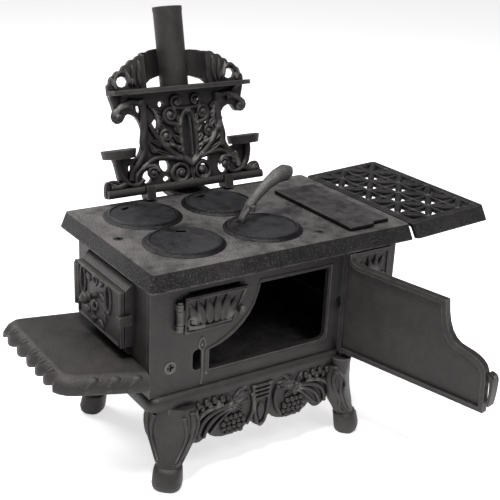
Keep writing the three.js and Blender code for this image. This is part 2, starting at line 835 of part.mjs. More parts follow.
function leftEndPlate() {
  const plate = endways(rectangle(innerFront, innerBack, bodyFloor, bodyTop), bodyLeft, plateWall);
  const window = block(
    fireboxFace - overrun, bodyLeft + plateWall + overrun,
    fireboxY0 + fireboxFrame, fireboxY1 - fireboxFrame,
    fireboxZ0 + fireboxFrame, fireboxZ1 - fireboxFrame,
  );
  const [z0] = knuckleSpan(fireboxZ0, fireboxHeight, fireboxKnuckleShares[0]);
  const [, z1] = knuckleSpan(fireboxZ0, fireboxHeight, fireboxKnuckleShares[1]);
  const pinWay = bar(smallPinRadius + fit, fireboxHingeX, fireboxHingeY, z0 - overrun, z1 + overrun, 12);
  const whole = join(plate, fireboxBox(), ...fixedFireboxKnuckles(), screwLug(screwPlaces.left));
  const screwWay = screwHole(screwPlaces.left, topUnderside - screwLength, cooktopHeight);
  return cut(whole, window, pinWay, screwWay, ...hearthSlots());
}

place("left_end_plate", leftEndPlate(), castIron);

function bottomPlate() {
  const x0 = bodyLeft + plateWall + fit;
  const x1 = waistX - plateWall - fit;
  return block(x0, x1, innerFront, innerBack, bodyFloor, bodyFloor + plateWall);
}

place("bottom_plate", bottomPlate(), roughIron);

// Cooktop
const lidPlaces = {
  front_left: [leftLidsX, frontLidsY, 1.19, 1.19],
  front_right: [rightLidsX, frontLidsY, 2.3, lifterTurn],
  rear_left: [leftLidsX, rearLidsY, 2, 2],
  rear_right: [rightLidsX, rearLidsY, 1.95, 1.95],
};
const coverX1 = cooktopWidth / 2 - coverFromRight;
const coverX0 = coverX1 - coverWidth;
const coverY0 = coverFromFront - cooktopDepth / 2;
const coverY1 = coverY0 + coverLength;

// Backsplash frame: across, up the lean, and back from its face
const backsplashY = cooktopDepth / 2 - backsplashSetback;
const pipeSetback = panelThickness + pipeRadius + pipePlay;

const leanMatrix = new THREE.Matrix4()
  .makeTranslation(backsplashX, backsplashY, cooktopHeight + fit)
  .multiply(new THREE.Matrix4().makeRotationX(-backsplashLean));

// Where the leaning pipe's middle line meets the cooktop's level
const pipeFootX = backsplashX + pipeOffset;
const pipeFootY = backsplashY + pipeSetback / Math.cos(backsplashLean);
const tongueRadius = pipeRadius + rimWall * 2;
const tabSlotShares = [-0.62, 0.62];

function rimSkin(inset, z0, z1) {
  const ring = (z) => {
    const flare = (rimFlare * (cooktopHeight - z)) / rimDrop;
    const halfX = cooktopWidth / 2 + flare - inset;
    const halfY = cooktopDepth / 2 + flare - inset;
    return cornerRing(-halfX, halfX, -halfY, halfY, cornerRadius, z, 2);
  };
  return loft([ring(z0), ring(z1)]);
}

function sideShelfTabY(share) {
  return (sideShelfLength / 2) * share;
}

function sideShelfSlots() {
  return tabSlotShares.map((share) => {
    const y = sideShelfTabY(share) - sideShelfForward;
    const half = tabWidth / 2 + tabPlay;
    const z1 = topUnderside - fit;
    return block(
      bodyRight + fit, cooktopWidth / 2 + rimFlare + overrun, y - half, y + half,
      z1 - tabThickness - tabPlay * 2, z1,
    );
  });
}

function cooktop() {
  const rimBottom = cooktopHeight - rimDrop;
  const skin = rimSkin(0, rimBottom, cooktopHeight);
  const hollow = rimSkin(rimWall, rimBottom - overrun, topUnderside);
  const tongue = join(
    bar(tongueRadius, pipeFootX, pipeFootY, topUnderside, cooktopHeight, 28),
    bar(pipeRadius + pipePlay + rimWall, pipeFootX, pipeFootY, topUnderside, cooktopHeight + pipeCollar, 28),
    block(
      pipeFootX - tongueRadius, pipeFootX + tongueRadius,
      cooktopDepth / 2 - rimWall, pipeFootY, topUnderside, cooktopHeight,
    ),
  );
  const flue = bar(
    pipeRadius - pipeWall * 2, pipeFootX, pipeFootY, topUnderside - overrun, cooktopHeight + overrun, 28,
  );
  const bore = bar(
    pipeRadius + pipePlay, pipeOffset, pipeSetback, -tongueRadius, tongueRadius, 28,
  );
  const above = block(
    pipeFootX - tongueRadius, pipeFootX + tongueRadius,
    pipeFootY - tongueRadius, pipeFootY + tongueRadius, cooktopHeight, cooktopHeight + tongueRadius,
  );
  const collarBore = moved(bore, leanMatrix).intersect(above);
  const holes = Object.values(lidPlaces).map(([x, y]) =>
    bar(holeRadius, x, y, topUnderside - overrun, cooktopHeight + overrun, 36));
  const coverWay = block(
    coverX0 + coverLip, coverX1 - coverLip, coverY0 + coverLip, coverY1 - coverLip,
    topUnderside - overrun, cooktopHeight + overrun,
  );
  const heads = Object.values(screwPlaces).flatMap(([x, y]) => {
    const low = cooktopHeight - screwHeadHeight - fit;
    return [
      screwHole([x, y], topUnderside - overrun, cooktopHeight + overrun),
      bar(screwRadius + fit, x, y, low, cooktopHeight + fit, 16, screwHeadRadius + fit),
    ];
  });
  const footHoles = [-1, 1].map((side) =>
    screwHole(
      [backsplashX + side * footAcross, backsplashY - footScrewForward],
      topUnderside - overrun, cooktopHeight + overrun,
    ));
  const upperHinge = cut(
    bar(upperPinRadius * 2, hingeX, hingeY, rimBottom + rimFlare, topUnderside + fit, 16),
    bar(upperPinRadius + pinPlay, hingeX, hingeY, rimBottom, topUnderside - fit, 12),
  );
  const openings = [flue, collarBore, coverWay, ...holes, ...heads, ...footHoles];
  const shell = cut(join(cut(skin, hollow), tongue), ...openings);
  return cut(join(shell, upperHinge), ...sideShelfSlots());
}

place("cooktop", cooktop(), roughIron);

// Round lids: a disc with a rounded edge, a raised ring, a locating spigot and a lifter socket
const lidShares = { edge: 0.97, ringOuter: 0.93, ringInner: 0.87, field: 0.85 };

function lid([x, y, turn, twist]) {
  const bottom = cooktopHeight + fit;
  const top = cooktopHeight + lidProud;
  const spigotRadius = holeRadius - fit * 2;
  const { edge, ringOuter, ringInner, field } = lidShares;
  const profile = [
    [0, bottom - lidSpigot],
    [spigotRadius, bottom - lidSpigot],
    [spigotRadius, bottom],
    [lidRadius, bottom],
    [lidRadius, top - lidRingHeight * 2],
    [lidRadius * edge, top - lidRingHeight],
    [lidRadius * ringOuter, top],
    [lidRadius * ringInner, top],
    [lidRadius * field, top - lidRingHeight],
    [0, top - lidRingHeight],
  ];
  const points = profile.map(([r, z]) => new THREE.Vector2(r, z));
  const geometry = new THREE.LatheGeometry(points, 36);
  geometry.rotateX(Math.PI / 2);
  geometry.translate(x, y, 0);
  const socket = new THREE.BoxGeometry(socketDepth, socketWidth, socketSunk + overrun);
  const floor = top - lidRingHeight - socketSunk;
  socket.rotateZ(twist);
  socket.translate(
    x + socketRadius * Math.cos(turn), y + socketRadius * Math.sin(turn), floor + (socketSunk + overrun) / 2,
  );
  return cut(solid(geometry), solid(socket));
}

for (const [corner, where] of Object.entries(lidPlaces)) {
  place(`lid_${corner}`, lid(where), smoothIron);
}

// Long cover over the reservoir, with an ogee front edge and a lip that drops into its opening
const coverOgeeShares = { bulge: 0.38, step: 0.62, depth: 0.045 };

function reservoirCover() {
  const { bulge, step, depth } = coverOgeeShares;
  const back = coverY0 + coverLength * depth;
  const shape = new THREE.Shape();
  shape.moveTo(coverX0, coverY0 + fit);
  shape.lineTo(coverX0 + coverWidth * bulge, coverY0);
  shape.quadraticCurveTo(coverX0 + coverWidth * step, coverY0, coverX0 + coverWidth * step, back);
  shape.lineTo(coverX1, back);
  shape.lineTo(coverX1, coverY1);
  shape.lineTo(coverX0, coverY1);
  const plate = lying(shape, cooktopHeight + fit, coverProud);
  const gap = coverLip + fit * 2;
  const lip = block(
    coverX0 + gap, coverX1 - gap, coverY0 + gap, coverY1 - gap,
    cooktopHeight - coverProud, cooktopHeight + coverProud / 2,
  );
  const inner = block(
    coverX0 + gap + rimWall, coverX1 - gap - rimWall, coverY0 + gap + rimWall, coverY1 - gap - rimWall,
    cooktopHeight - coverProud - overrun, cooktopHeight + fit,
  );
  return cut(join(plate, lip), inner);
}

place("reservoir_cover", reservoirCover(), smoothIron);

// Lid lifter: blade in the front right lid's socket, small cross guard, curved round grip
const lifterShares = [
  [0, 0, 0.6, 0.3],
  [0.045, 0.13, 0.62, 0.4],
  [0.17, 0.35, 0.78, 0.62],
  [0.33, 0.55, 0.7, 0.74],
  [0.52, 0.75, 0.8, 0.86],
  [0.71, 0.9, 1, 1.06],
  [0.87, 0.95, 1.2, 1.24],
  [0.96, 0.92, 1.14, 1.16],
  [1, 0.88, 0.66, 0.68],
];

const lifterSides = 12;

function lidLifter() {
  const path = new THREE.CatmullRomCurve3(
    lifterShares.map(([run, rise]) => new THREE.Vector3(lifterRun * run, 0, lifterRise * rise)),
  );
  const rings = lifterShares.map(([, , wideShare, deepShare], i) => {
    const t = i / (lifterShares.length - 1);
    const centre = path.getPoint(t);
    const ahead = path.getTangent(t);
    const across = new THREE.Vector3(0, 1, 0);
    const up = new THREE.Vector3().crossVectors(ahead, across).normalize();
    return Array.from({ length: lifterSides }, (_, k) => {
      const angle = (2 * Math.PI * k) / lifterSides;
      const point = centre.clone();
      point.addScaledVector(up, Math.cos(angle) * lifterGrip * deepShare);
      return point.addScaledVector(across, -Math.sin(angle) * lifterGrip * wideShare);
    });
  });
  const guard = new THREE.BoxGeometry(lifterBladeThickness * 2, lifterGrip * 4.4, lifterGrip * 0.8);
  guard.translate(lifterRun * 0.14, 0, lifterRise * 0.3);
  const blade = new THREE.BoxGeometry(lifterBladeThickness, lifterBlade, lifterGrip);
  blade.translate(0, 0, 0);
  return join(loft(rings), solid(guard), solid(blade));
}

const [lifterLidX, lifterLidY, lifterLidTurn] = lidPlaces.front_right;
const lidFloor = cooktopHeight + lidProud - lidRingHeight - socketSunk;
const lifterFrame = frameAt(
  lifterLidX + socketRadius * Math.cos(lifterLidTurn),
  lifterLidY + socketRadius * Math.sin(lifterLidTurn),
  lidFloor + fit + lifterGrip / 2,
);
lifterFrame.rotation.z = lifterTurn;
place("lid_lifter", lidLifter(), smoothIron, lifterFrame);

// Oven door, drawn closed in its hinge frame: X runs from the hinge to the free edge
const doorShares = {
  heel: 1.01,
  free: [1, 0.36],
  shoulder: [1, 0.5, 0.93, 0.55, 0.85, 0.57],
  neck: [0.76, 0.585, 0.715, 0.705, 0.7, 0.985],
  hingeTop: 0.1,
  rise: [0.035, 0.1],
};

function ovenDoorShape(inset) {
  const w = ovenDoorWidth;
  const h = ovenDoorHeight;
  const { heel, free, shoulder, neck, hingeTop, rise } = doorShares;
  const start = lowerPinRadius * -0.5 + inset;
  const shape = new THREE.Shape();
  shape.moveTo(start, inset);
  shape.lineTo(w * heel - inset, inset);
  shape.lineTo(w * free[0] - inset, h * free[1]);
  shape.bezierCurveTo(
    w * shoulder[0] - inset, h * shoulder[1] - inset,
    w * shoulder[2] - inset, h * shoulder[3] - inset,
    w * shoulder[4] - inset, h * shoulder[5] - inset,
  );
  shape.bezierCurveTo(
    w * neck[0] - inset, h * neck[1] - inset,
    w * neck[2] - inset, h * neck[3] - inset,
    w * neck[4] - inset, h * neck[5] - inset,
  );
  shape.lineTo(w * hingeTop + inset, h - inset);
  shape.quadraticCurveTo(w * rise[0], h - inset, w * rise[0] - inset / 2, h * (1 + rise[1]) - inset);
  shape.lineTo(start, h * (1 + rise[1]) - inset);
  return shape;
}

// The catch hangs from the free edge as a claw that bulges outwards and narrows to its tip
function clawShape(top) {
  const wall = catchThickness;
  const inner = ovenDoorWidth + catchLength - wall;
  const outer = ovenDoorWidth + catchLength + wall * 0.2;
  const shape = new THREE.Shape();
  shape.moveTo(inner - wall, top);
  shape.quadraticCurveTo(outer, top, outer, top - catchDrop * 0.25);
  shape.quadraticCurveTo(outer, top - catchDrop * 0.7, inner + wall * 0.7, top - catchDrop);
  shape.lineTo(inner + wall * 0.05, top - catchDrop + wall / 2);
  shape.quadraticCurveTo(inner + wall * 0.5, top - catchDrop * 0.55, inner, top - wall * 1.7);
  shape.lineTo(inner - wall, top - wall * 1.7);
  return shape;
}

// In the door's frame Y is the outward direction and the plate is centred on the hinge line
function ovenDoor() {
  const half = ovenDoorThickness / 2;
  const rimmed = ovenDoorShape(0);
  rimmed.holes.push(ovenDoorShape(ovenDoorRimWidth));
  const plate = standing(ovenDoorShape(0), -half, ovenDoorThickness);
  const rim = standing(rimmed, -half - ovenDoorRim, ovenDoorRim + fit);
  const lowerPin = join(
    bar(lowerPinRadius, 0, 0, -lowerPinLength, 0, 16),
    bar(lowerPinRadius * 1.35, 0, 0, fit - ovenDoorFromBase, lowerPinRadius, 16),
  );
  const roll = bar(hingeRollRadius, 0, 0, 0, ovenDoorHeight, 16);
  const upperPin = bar(upperPinRadius, 0, 0, ovenDoorHeight - overrun, ovenDoorHeight + upperPinLength, 12);
  const catchTop = ovenDoorHeight * doorShares.free[1];
  const latch = block(
    ovenDoorWidth - catchThickness, ovenDoorWidth + catchLength,
    half - catchThickness, half + catchThickness / 2, catchTop - catchThickness, catchTop + catchThickness,
  );
  const claw = standing(clawShape(catchTop + catchThickness), half - catchThickness * 1.4, catchThickness * 3);
  return join(plate, rim, roll, lowerPin, upperPin, latch, claw);
}

const doorFrame = frameAt(hingeX, hingeY, baseHeight + ovenDoorFromBase);
doorFrame.rotation.z = Math.PI + ovenDoorOpen;
place("oven_door", ovenDoor(), castIron, doorFrame);

// Fire door: framed panel with a slanted right side, hung on a pin between fixed knuckles
function fireDoorShape(inset) {
  const x0 = fireHingeX + knuckleRadius + fit * 3 + inset;
  const x1 = x0 + fireDoorWidth - inset * 2;
  const z0 = fireDoorBottom + inset;
  const z1 = fireDoorBottom + fireDoorHeight - inset;
  const shape = new THREE.Shape();
  shape.moveTo(x0, z0);
  shape.lineTo(x1 - fireDoorWidth * fireSlantShare, z0);
  shape.lineTo(x1, z1);
  shape.lineTo(x0, z1);
  return shape;
}

function fireDoor() {
  const inner = bodyFront - fireDoorGap;
  const outer = inner - fireDoorThickness;
  const border = fireDoorThickness;
  const plate = standing(fireDoorShape(0), outer, fireDoorThickness);
  const sunk = standing(fireDoorShape(border), outer - overrun, overrun + doorFieldSunk);
  const [, z0] = knuckleSpan(fireDoorBottom, fireDoorHeight, fireKnuckleShares[0]);
  const [z1] = knuckleSpan(fireDoorBottom, fireDoorHeight, fireKnuckleShares[1]);
  const barrel = bar(knuckleRadius, fireHingeX, fireHingeY, z0 + fit, z1 - fit, 16);
  const web = block(
    fireHingeX, fireHingeX + knuckleRadius + fit * 5, outer, inner, z0 + fit, z1 - fit,
  );
  const pinWay = bar(smallPinRadius + fit, fireHingeX, fireHingeY, z0 - overrun, z1 + overrun, 12);
  const knobX = fireHingeX + knuckleRadius + fireDoorWidth * 0.87;
  const knobZ = fireDoorBottom + fireDoorHeight * 0.38;
  const knob = barAlongY(knobRadius / 2, knobX, knobZ, outer - knobRadius, outer + doorFieldSunk + fit, 14);
  return cut(join(cut(plate, sunk), barrel, web, knob), pinWay);
}

place("fire_door", fireDoor(), castIron);

function hingePin(x, y, bottom, height, shares) {
  const [z0] = knuckleSpan(bottom, height, shares[0]);
  const [, z1] = knuckleSpan(bottom, height, shares[1]);
  return join(
    bar(smallPinRadius, x, y, z0, z1 + fit, 12),
    bar(smallPinRadius * 1.7, x, y, z1 + fit, z1 + fit + smallPinRadius, 12),
  );
}

place(
  "fire_door_pin",
  hingePin(fireHingeX, fireHingeY, fireDoorBottom, fireDoorHeight, fireKnuckleShares),
  screwSteel,
);
place(
  "firebox_door_pin",
  hingePin(fireboxHingeX, fireboxHingeY, fireboxZ0, fireboxHeight, fireboxKnuckleShares),
  screwSteel,
);

// Firebox door: draught slots, two small holes, a turned knob and a hook round the box's front
const fireboxDoorShares = {
  slotAcross: [0.13, 0.72], slotLow: 0.46, slotHigh: 0.93, holeAcross: 0.42, holeUp: [0.4, 0.86],
  knobUp: 0.58, hookLow: 0.42, hookHigh: 0.58,
};

// Knob section from its seat outwards, as shares of its radius and length
const knobShares = [
  [0, 0], [0.62, 0], [0.45, 0.3], [0.5, 0.5], [1, 0.72], [0.92, 0.95], [0, 1],
];

function turnedKnob() {
  const outline = knobShares.map(
    ([radiusShare, lengthShare]) => new THREE.Vector2(knobRadius * radiusShare, knobLength * lengthShare),
  );
  const geometry = new THREE.LatheGeometry(outline, 18);
  geometry.rotateZ(Math.PI / 2);
  return geometry;
}

function fireboxDoor() {
  const share = fireboxDoorShares;
  const y0 = fireboxY0 - fit;
  const y1 = fireboxHingeY - knuckleRadius - fit * 3;
  const inner = fireboxFace - fireboxDoorGap;
  const outer = inner - fireboxDoorThickness;
  const across = (s) => y0 + (y1 - y0) * s;
  const up = (s) => fireboxZ0 + fireboxHeight * s;
  const shape = rectangle(y0, y1, fireboxZ0, fireboxZ1);
  const border = fireboxDoorThickness;
  const field = rectangle(y0 + border, y1 - border, fireboxZ0 + border, fireboxZ1 - border);
  const slots = share.slotAcross.map((s) =>
    endways(ellipse(across(1 - s), up((share.slotLow + share.slotHigh) / 2),
      fireboxDoorThickness, (fireboxHeight * (share.slotHigh - share.slotLow)) / 2), outer - overrun,
    fireboxDoorThickness + overrun * 2));
  const holes = share.holeUp.map((s) =>
    endways(ellipse(across(1 - share.holeAcross), up(s), knobRadius / 2, knobRadius / 2), outer - overrun,
      fireboxDoorThickness + overrun * 2));
  const [, z0] = knuckleSpan(fireboxZ0, fireboxHeight, fireboxKnuckleShares[0]);
  const [z1] = knuckleSpan(fireboxZ0, fireboxHeight, fireboxKnuckleShares[1]);
  const barrel = bar(knuckleRadius, fireboxHingeX, fireboxHingeY, z0 + fit, z1 - fit, 16);
  const web = block(outer, inner, y1 - overrun, fireboxHingeY, z0 + fit, z1 - fit);
  const pinWay = bar(smallPinRadius + fit, fireboxHingeX, fireboxHingeY, z0 - overrun, z1 + overrun, 12);
  const hook = block(
    outer - overrun, fireboxFace + fireboxProud / 2, y0 - fireboxDoorThickness, y0 - fit,
    up(share.hookLow), up(share.hookHigh),
  );
  const hookRoot = block(
    outer - overrun, inner, y0 - fireboxDoorThickness, y0 + overrun,
    up(share.hookLow), up(share.hookHigh),
  );
  const knob = turnedKnob();
  knob.translate(outer + doorFieldSunk + fit, across(1 - share.holeAcross), up(share.knobUp));
  const sunk = endways(field, outer - overrun, overrun + doorFieldSunk);
  const plate = cut(endways(shape, outer, fireboxDoorThickness), sunk);
  return cut(join(plate, barrel, web, hook, hookRoot, solid(knob)), ...slots, ...holes, pinWay);
}

place("firebox_door", fireboxDoor(), castIron);

// Hearth shelf: a flat that narrows outwards, with a drooping rim on three sides. The rim is
// fluted along its outer side. Its own frame starts at the body's left face, with X running
// outwards to the left.
const pointsPerFlute = 6;
const cornerSteps = 4;
const rimShares = { crown: [0.34, 0.07], brow: [0.72, 0.3], cheek: 0.66 };

// Half of the rim's route, from the body to the middle of the outer side: each place has its
// point, its outward direction and how deep the flute is there
function hearthHalfRoute(taper) {
  const outer = hearthHalf - taper;
  const side = new THREE.Vector2(hearthReach, -taper).normalize();
  const sideOut = new THREE.Vector2(-side.y, side.x);
  const turn = Math.atan2(sideOut.y, sideOut.x);
  const trim = hearthCorner * Math.tan(turn / 2);
  const corner = new THREE.Vector2(hearthReach, outer);
  const middle = new THREE.Vector2(hearthReach - hearthCorner, outer - trim);
  const places = [];
  const last = corner.clone().addScaledVector(side, -trim);
  const sideSteps = Math.round(last.length() / flutePitch) * 2;
  for (let i = 0; i < sideSteps; i += 1) {
    const point = new THREE.Vector2(0, hearthHalf).lerp(last, i / sideSteps);
    places.push({ point, out: i === 0 ? new THREE.Vector2(0, 1) : sideOut, wave: 0 });
  }
  for (let i = 0; i < cornerSteps; i += 1) {
    const angle = turn * (1 - i / cornerSteps);
    const out = new THREE.Vector2(Math.cos(angle), Math.sin(angle));
    places.push({ point: middle.clone().addScaledVector(out, hearthCorner), out, wave: 0 });
  }
  const run = outer - trim;
  const flutes = Math.floor(run / flutePitch) + 0.5;
  const steps = Math.round(flutes * pointsPerFlute);
  for (let i = 0; i <= steps; i += 1) {
    const phase = Math.abs(Math.sin((Math.PI * i * flutes) / steps));
    const point = new THREE.Vector2(hearthReach, run * (1 - i / steps));
    places.push({ point, out: new THREE.Vector2(1, 0), wave: (1 - phase) * fluteDepth });
  }
  return places;
}

function hearthShelf() {
  const mirror = ({ point, out, wave }) => ({
    point: new THREE.Vector2(point.x, -point.y),
    out: new THREE.Vector2(out.x, -out.y),
    wave,
  });
  const far = hearthHalfRoute(hearthTaperBack).slice(0, -1).reverse();
  const route = [...hearthHalfRoute(hearthTaperFront), ...far.map(mirror)];
  const { crown, brow, cheek } = rimShares;
  return route.map(({ point, out, wave }) => {
    const reach = hearthRimReach - wave;
    const inside = reach - hearthThickness;
    const at = (distance, z) => new THREE.Vector3(point.x + out.x * distance, point.y + out.y * distance, z);
    return [
      at(0, 0),
      at(reach * crown[0], -hearthRimDrop * crown[1]),
      at(reach * brow[0], -hearthRimDrop * brow[1]),
      at(reach, -hearthRimDrop * cheek),
      at(reach, wave - hearthRimDrop),
      at(inside, wave - hearthRimDrop),
      at(-hearthThickness / 2, -hearthThickness),
    ];
  });
}

function hearthSolid() {
  const sections = hearthShelf();
  const width = sections[0].length;
  const position = sections.flat().flatMap((point) => [point.x, point.y, point.z]);
  const index = [];
  const vertex = (section, k) => section * width + k;
  for (let s = 0; s < sections.length - 1; s += 1) {
    for (let k = 0; k < width - 1; k += 1) {
      const a = vertex(s, k);
      const b = vertex(s + 1, k);
      const c = vertex(s + 1, k + 1);
      const d = vertex(s, k + 1);
      index.push(a, b, c, a, c, d);
    }
  }
  const flat = (k) => sections.map((section) => new THREE.Vector2(section[k].x, section[k].y));
  for (const [k, flip] of [[0, false], [width - 1, true]]) {
    for (const [a, b, c] of THREE.ShapeUtils.triangulateShape(flat(k), [])) {
      const face = [vertex(a, k), vertex(b, k), vertex(c, k)];
      index.push(...(flip ? face.reverse() : face));
    }
  }
  const end = sections.length - 1;
  for (let k = 1; k < width - 1; k += 1) {
    index.push(vertex(0, 0), vertex(0, k), vertex(0, k + 1));
    index.push(vertex(end, 0), vertex(end, k + 1), vertex(end, k));
  }
  const top = [vertex(0, 0), vertex(end, 0)];
  const low = [vertex(0, width - 1), vertex(end, width - 1)];
  index.push(top[0], low[1], top[1], top[0], low[0], low[1]);
  const geometry = new THREE.BufferGeometry();
  geometry.setAttribute("position", new THREE.BufferAttribute(new Float32Array(position), 3));
  geometry.setIndex(index);
  return geometry;
}

const hearthFrame = frameAt(bodyLeft - fit, bodyMiddleY, hearthHeight);
hearthFrame.rotation.order = "ZYX";
hearthFrame.rotation.set(0, -hearthTilt, Math.PI);

function hearthPlate() {
  const tabs = hearthTabShares.map((share) => {
    const y = hearthHalf * share;
    const z = -hearthThickness + (hearthThickness - tabThickness) / 2;
    return block(-tabReach, overrun, y - tabWidth / 2, y + tabWidth / 2, z, z + tabThickness);
  });
  return join(solid(hearthSolid()), ...tabs);
}

place("hearth_plate", hearthPlate(), castIron, hearthFrame);

// Openwork side shelf in its own frame: X runs outwards from its inner edge
// Two three-cornered openings, one each side of a leaf that runs across the square at x, y
function besideLeaf(x, y, halfWidth, halfHeight, lean) {
  const long = Math.hypot(halfWidth, halfHeight);
  const backX = (latticeLeaf / 2) * (long / halfHeight);
  const backY = (latticeLeaf / 2) * (long / halfWidth);
  return [-1, 1].map((side) => {
    const shape = new THREE.Shape();
    shape.moveTo(x + side * halfWidth, y - side * lean * halfHeight);
    shape.lineTo(x + side * halfWidth, y + side * lean * (halfHeight - backY));
    shape.lineTo(x - side * (halfWidth - backX), y - side * lean * halfHeight);
    return shape;
  });
}

function latticeHoles() {
  const wide = sideShelfWidth - sideShelfBorder * 2;
  const long = sideShelfLength - sideShelfBorder * 2;
  const columns = Math.round(wide / latticePitch);
  const rows = Math.round(long / latticePitch);
  const holes = [];
  for (let i = 0; i < columns; i += 1) {
    for (let k = 0; k < rows; k += 1) {
      const x = sideShelfBorder + (wide * (i + 1 / 2)) / columns;
      const y = sideShelfBorder - sideShelfLength / 2 + (long * (k + 1 / 2)) / rows;
      const halfWidth = (wide / columns - latticeBar) / 2;
      const halfHeight = (long / rows - latticeBar) / 2;
      holes.push(...besideLeaf(x, y, halfWidth, halfHeight, (i + k) % 2 ? 1 : -1));
    }
  }
  return holes;
}

function sideShelf() {
  const half = sideShelfLength / 2;
  const ring = (z, out, inner) =>
    cornerRing(inner, sideShelfWidth + out, -half - out, half + out, cornerRadius, z, 2);
  const skin = loft([ring(-rimDrop, rimFlare, rimFlare), ring(0, 0, 0)]);
  const hollow = loft([
    ring(-rimDrop - overrun, rimFlare - rimWall, -overrun * 4),
    ring(-sideShelfThickness, -rimWall + fit, -overrun * 4),
  ]);
  const pattern = latticeHoles().map((hole) =>
    lying(hole, -sideShelfThickness - overrun, sideShelfThickness + overrun * 2, 5));
  const tabTop = topUnderside - fit - tabPlay - cooktopHeight;
  const tabs = tabSlotShares.map((share) => {
    const y = sideShelfTabY(share);
    const y0 = y - tabWidth / 2;
    const y1 = y + tabWidth / 2;
    const riserX = rimFlare - sideShelfGap + fit;
    return join(
      block(-tabReach, riserX + tabThickness, y0, y1, tabTop - tabThickness, tabTop),
      block(riserX, riserX + tabThickness, y0, y1, tabTop - tabThickness, -sideShelfThickness + fit),
    );
  });
  return join(cut(skin, hollow, ...pattern), ...tabs);
}

const sideShelfFrame = frameAt(cooktopWidth / 2 + sideShelfGap, -sideShelfForward, cooktopHeight);
sideShelfFrame.rotation.y = -sideShelfTilt;
place("side_shelf", sideShelf(), castIron, sideShelfFrame);

// Backsplash in its leaning frame: outline of the right half, as shares of half width and height
const panelEdgeShares = [
  [0.975, 0.054], [0.985, 0.085], [0.98, 0.14], [0.96, 0.2], [0.92, 0.21], [0.87, 0.165],
  [0.815, 0.165], [0.82, 0.23], [0.84, 0.35], [0.86, 0.455], [0.7, 0.455], [0.665, 0.41],
  [0.59, 0.4], [0.53, 0.456], [0.495, 0.56], [0.487, 0.67], [0.525, 0.76], [0.58, 0.805],
  [0.65, 0.815], [0.685, 0.775], [0.72, 0.745], [0.77, 0.745], [0.8, 0.79], [0.79, 0.845],
  [0.8, 0.9], [0.82, 0.96], [0.83, 1],
];
// Openings of the right half: across, up, half width, half height, turn in radians
const panelHoleShares = [
  [0.235, 0.88, 0.034, 0.031, 0, 10],
  [0.5, 0.875, 0.035, 0.058, 0.1, 12],
  [0.315, 0.7, 0.062, 0.055, 0, 4],
  [0.258, 0.3, 0.055, 0.07, -0.5, 12],
  [0.477, 0.207, 0.058, 0.062, 0.4, 12],
  [0.245, 0.165, 0.045, 0.026, 0.1, 10],
  [0.665, 0.305, 0.03, 0.042, 0, 10],
];
const panelSlotShares = { halfWidth: 0.076, low: 0.32, high: 0.805, point: 0.05 };

function panelHole(side, [across, up, halfWidth, halfHeight, turn, sides]) {
  const path = new THREE.Path();
  for (let i = 0; i < sides; i += 1) {
    const angle = (2 * Math.PI * i) / sides;
    const x = panelHalfWidth * halfWidth * Math.cos(angle);
    const y = panelHeight * halfHeight * Math.sin(angle);
    const px = x * Math.cos(turn) - y * Math.sin(turn);
    const py = x * Math.sin(turn) + y * Math.cos(turn);
    const at = [side * (panelHalfWidth * across + px), panelHeight * up + py];
    if (i === 0) {
      path.moveTo(...at);
    } else {
      path.lineTo(...at);
    }
  }
  return path;
}

function panelSlot() {
  const { halfWidth, low, high, point } = panelSlotShares;
  const w = panelHalfWidth * halfWidth;
  const z0 = panelHeight * low;
  const z1 = panelHeight * high;
  const tip = panelHeight * point;
  const path = new THREE.Path();
  path.moveTo(pipeOffset, z0);
  path.lineTo(pipeOffset + w, z0 + tip);
  path.lineTo(pipeOffset + w, z1 - tip);
  path.lineTo(pipeOffset, z1);
  path.lineTo(pipeOffset - w, z1 - tip);
  path.lineTo(pipeOffset - w, z0 + tip);
  return path;
}

function panelShape() {
  const edge = panelEdgeShares.map(([x, z]) => new THREE.Vector2(panelHalfWidth * x, panelHeight * z));
  const path = new THREE.Path();
  path.moveTo(0, edge[0].y);
  path.lineTo(edge[0].x, edge[0].y);
  path.splineThru(edge.slice(1));
  path.lineTo(0, panelHeight);
  const shape = mirrored(path, 2);
  shape.holes.push(panelSlot());
  for (const side of [-1, 1]) {
    shape.holes.push(...panelHoleShares.map((row) => panelHole(side, row)));
  }
  return shape;
}

// Bottom rail: a rounded bar along the panel's foot
const railShares = [
  [0.054, 0], [0.054, 0.9], [0.075, 1.15], [0.105, 1.15], [0.13, 0.8], [0.13, 0],
];

function rail() {
  const section = railShares.map(([up, out]) => new THREE.Vector2(-panelThickness * out, panelHeight * up));
  const low = new THREE.Vector2(overrun, section[0].y);
  const high = new THREE.Vector2(overrun, section[section.length - 1].y);
  const shape = new THREE.Shape([low, ...section, high]);
  const reach = panelHalfWidth * panelEdgeShares[0][0];
  return endways(shape, -reach, reach * 2);
}

function trivet(side) {
  const x = side * trivetAcross;
  const y = panelThickness / 4;
  const disc = bar(
    trivetRadius * 0.92, x, y, trivetHeight - trivetThickness, trivetHeight, 24, trivetRadius,
  );
  const back = block(
    x - trivetRadius * 2, x + trivetRadius * 2, panelThickness, trivetRadius * 2,
    0, panelHeight,
  );
  return cut(disc, back);
}

function carriedAcross(manifold) {
  return moved(manifold, new THREE.Matrix4().makeTranslation(crownOffset, 0, 0));
}

// Upper shelf with slanted ends and a half-round back that carries the niche
const highShelfShares = { front: 0.81, corner: 0.35 };

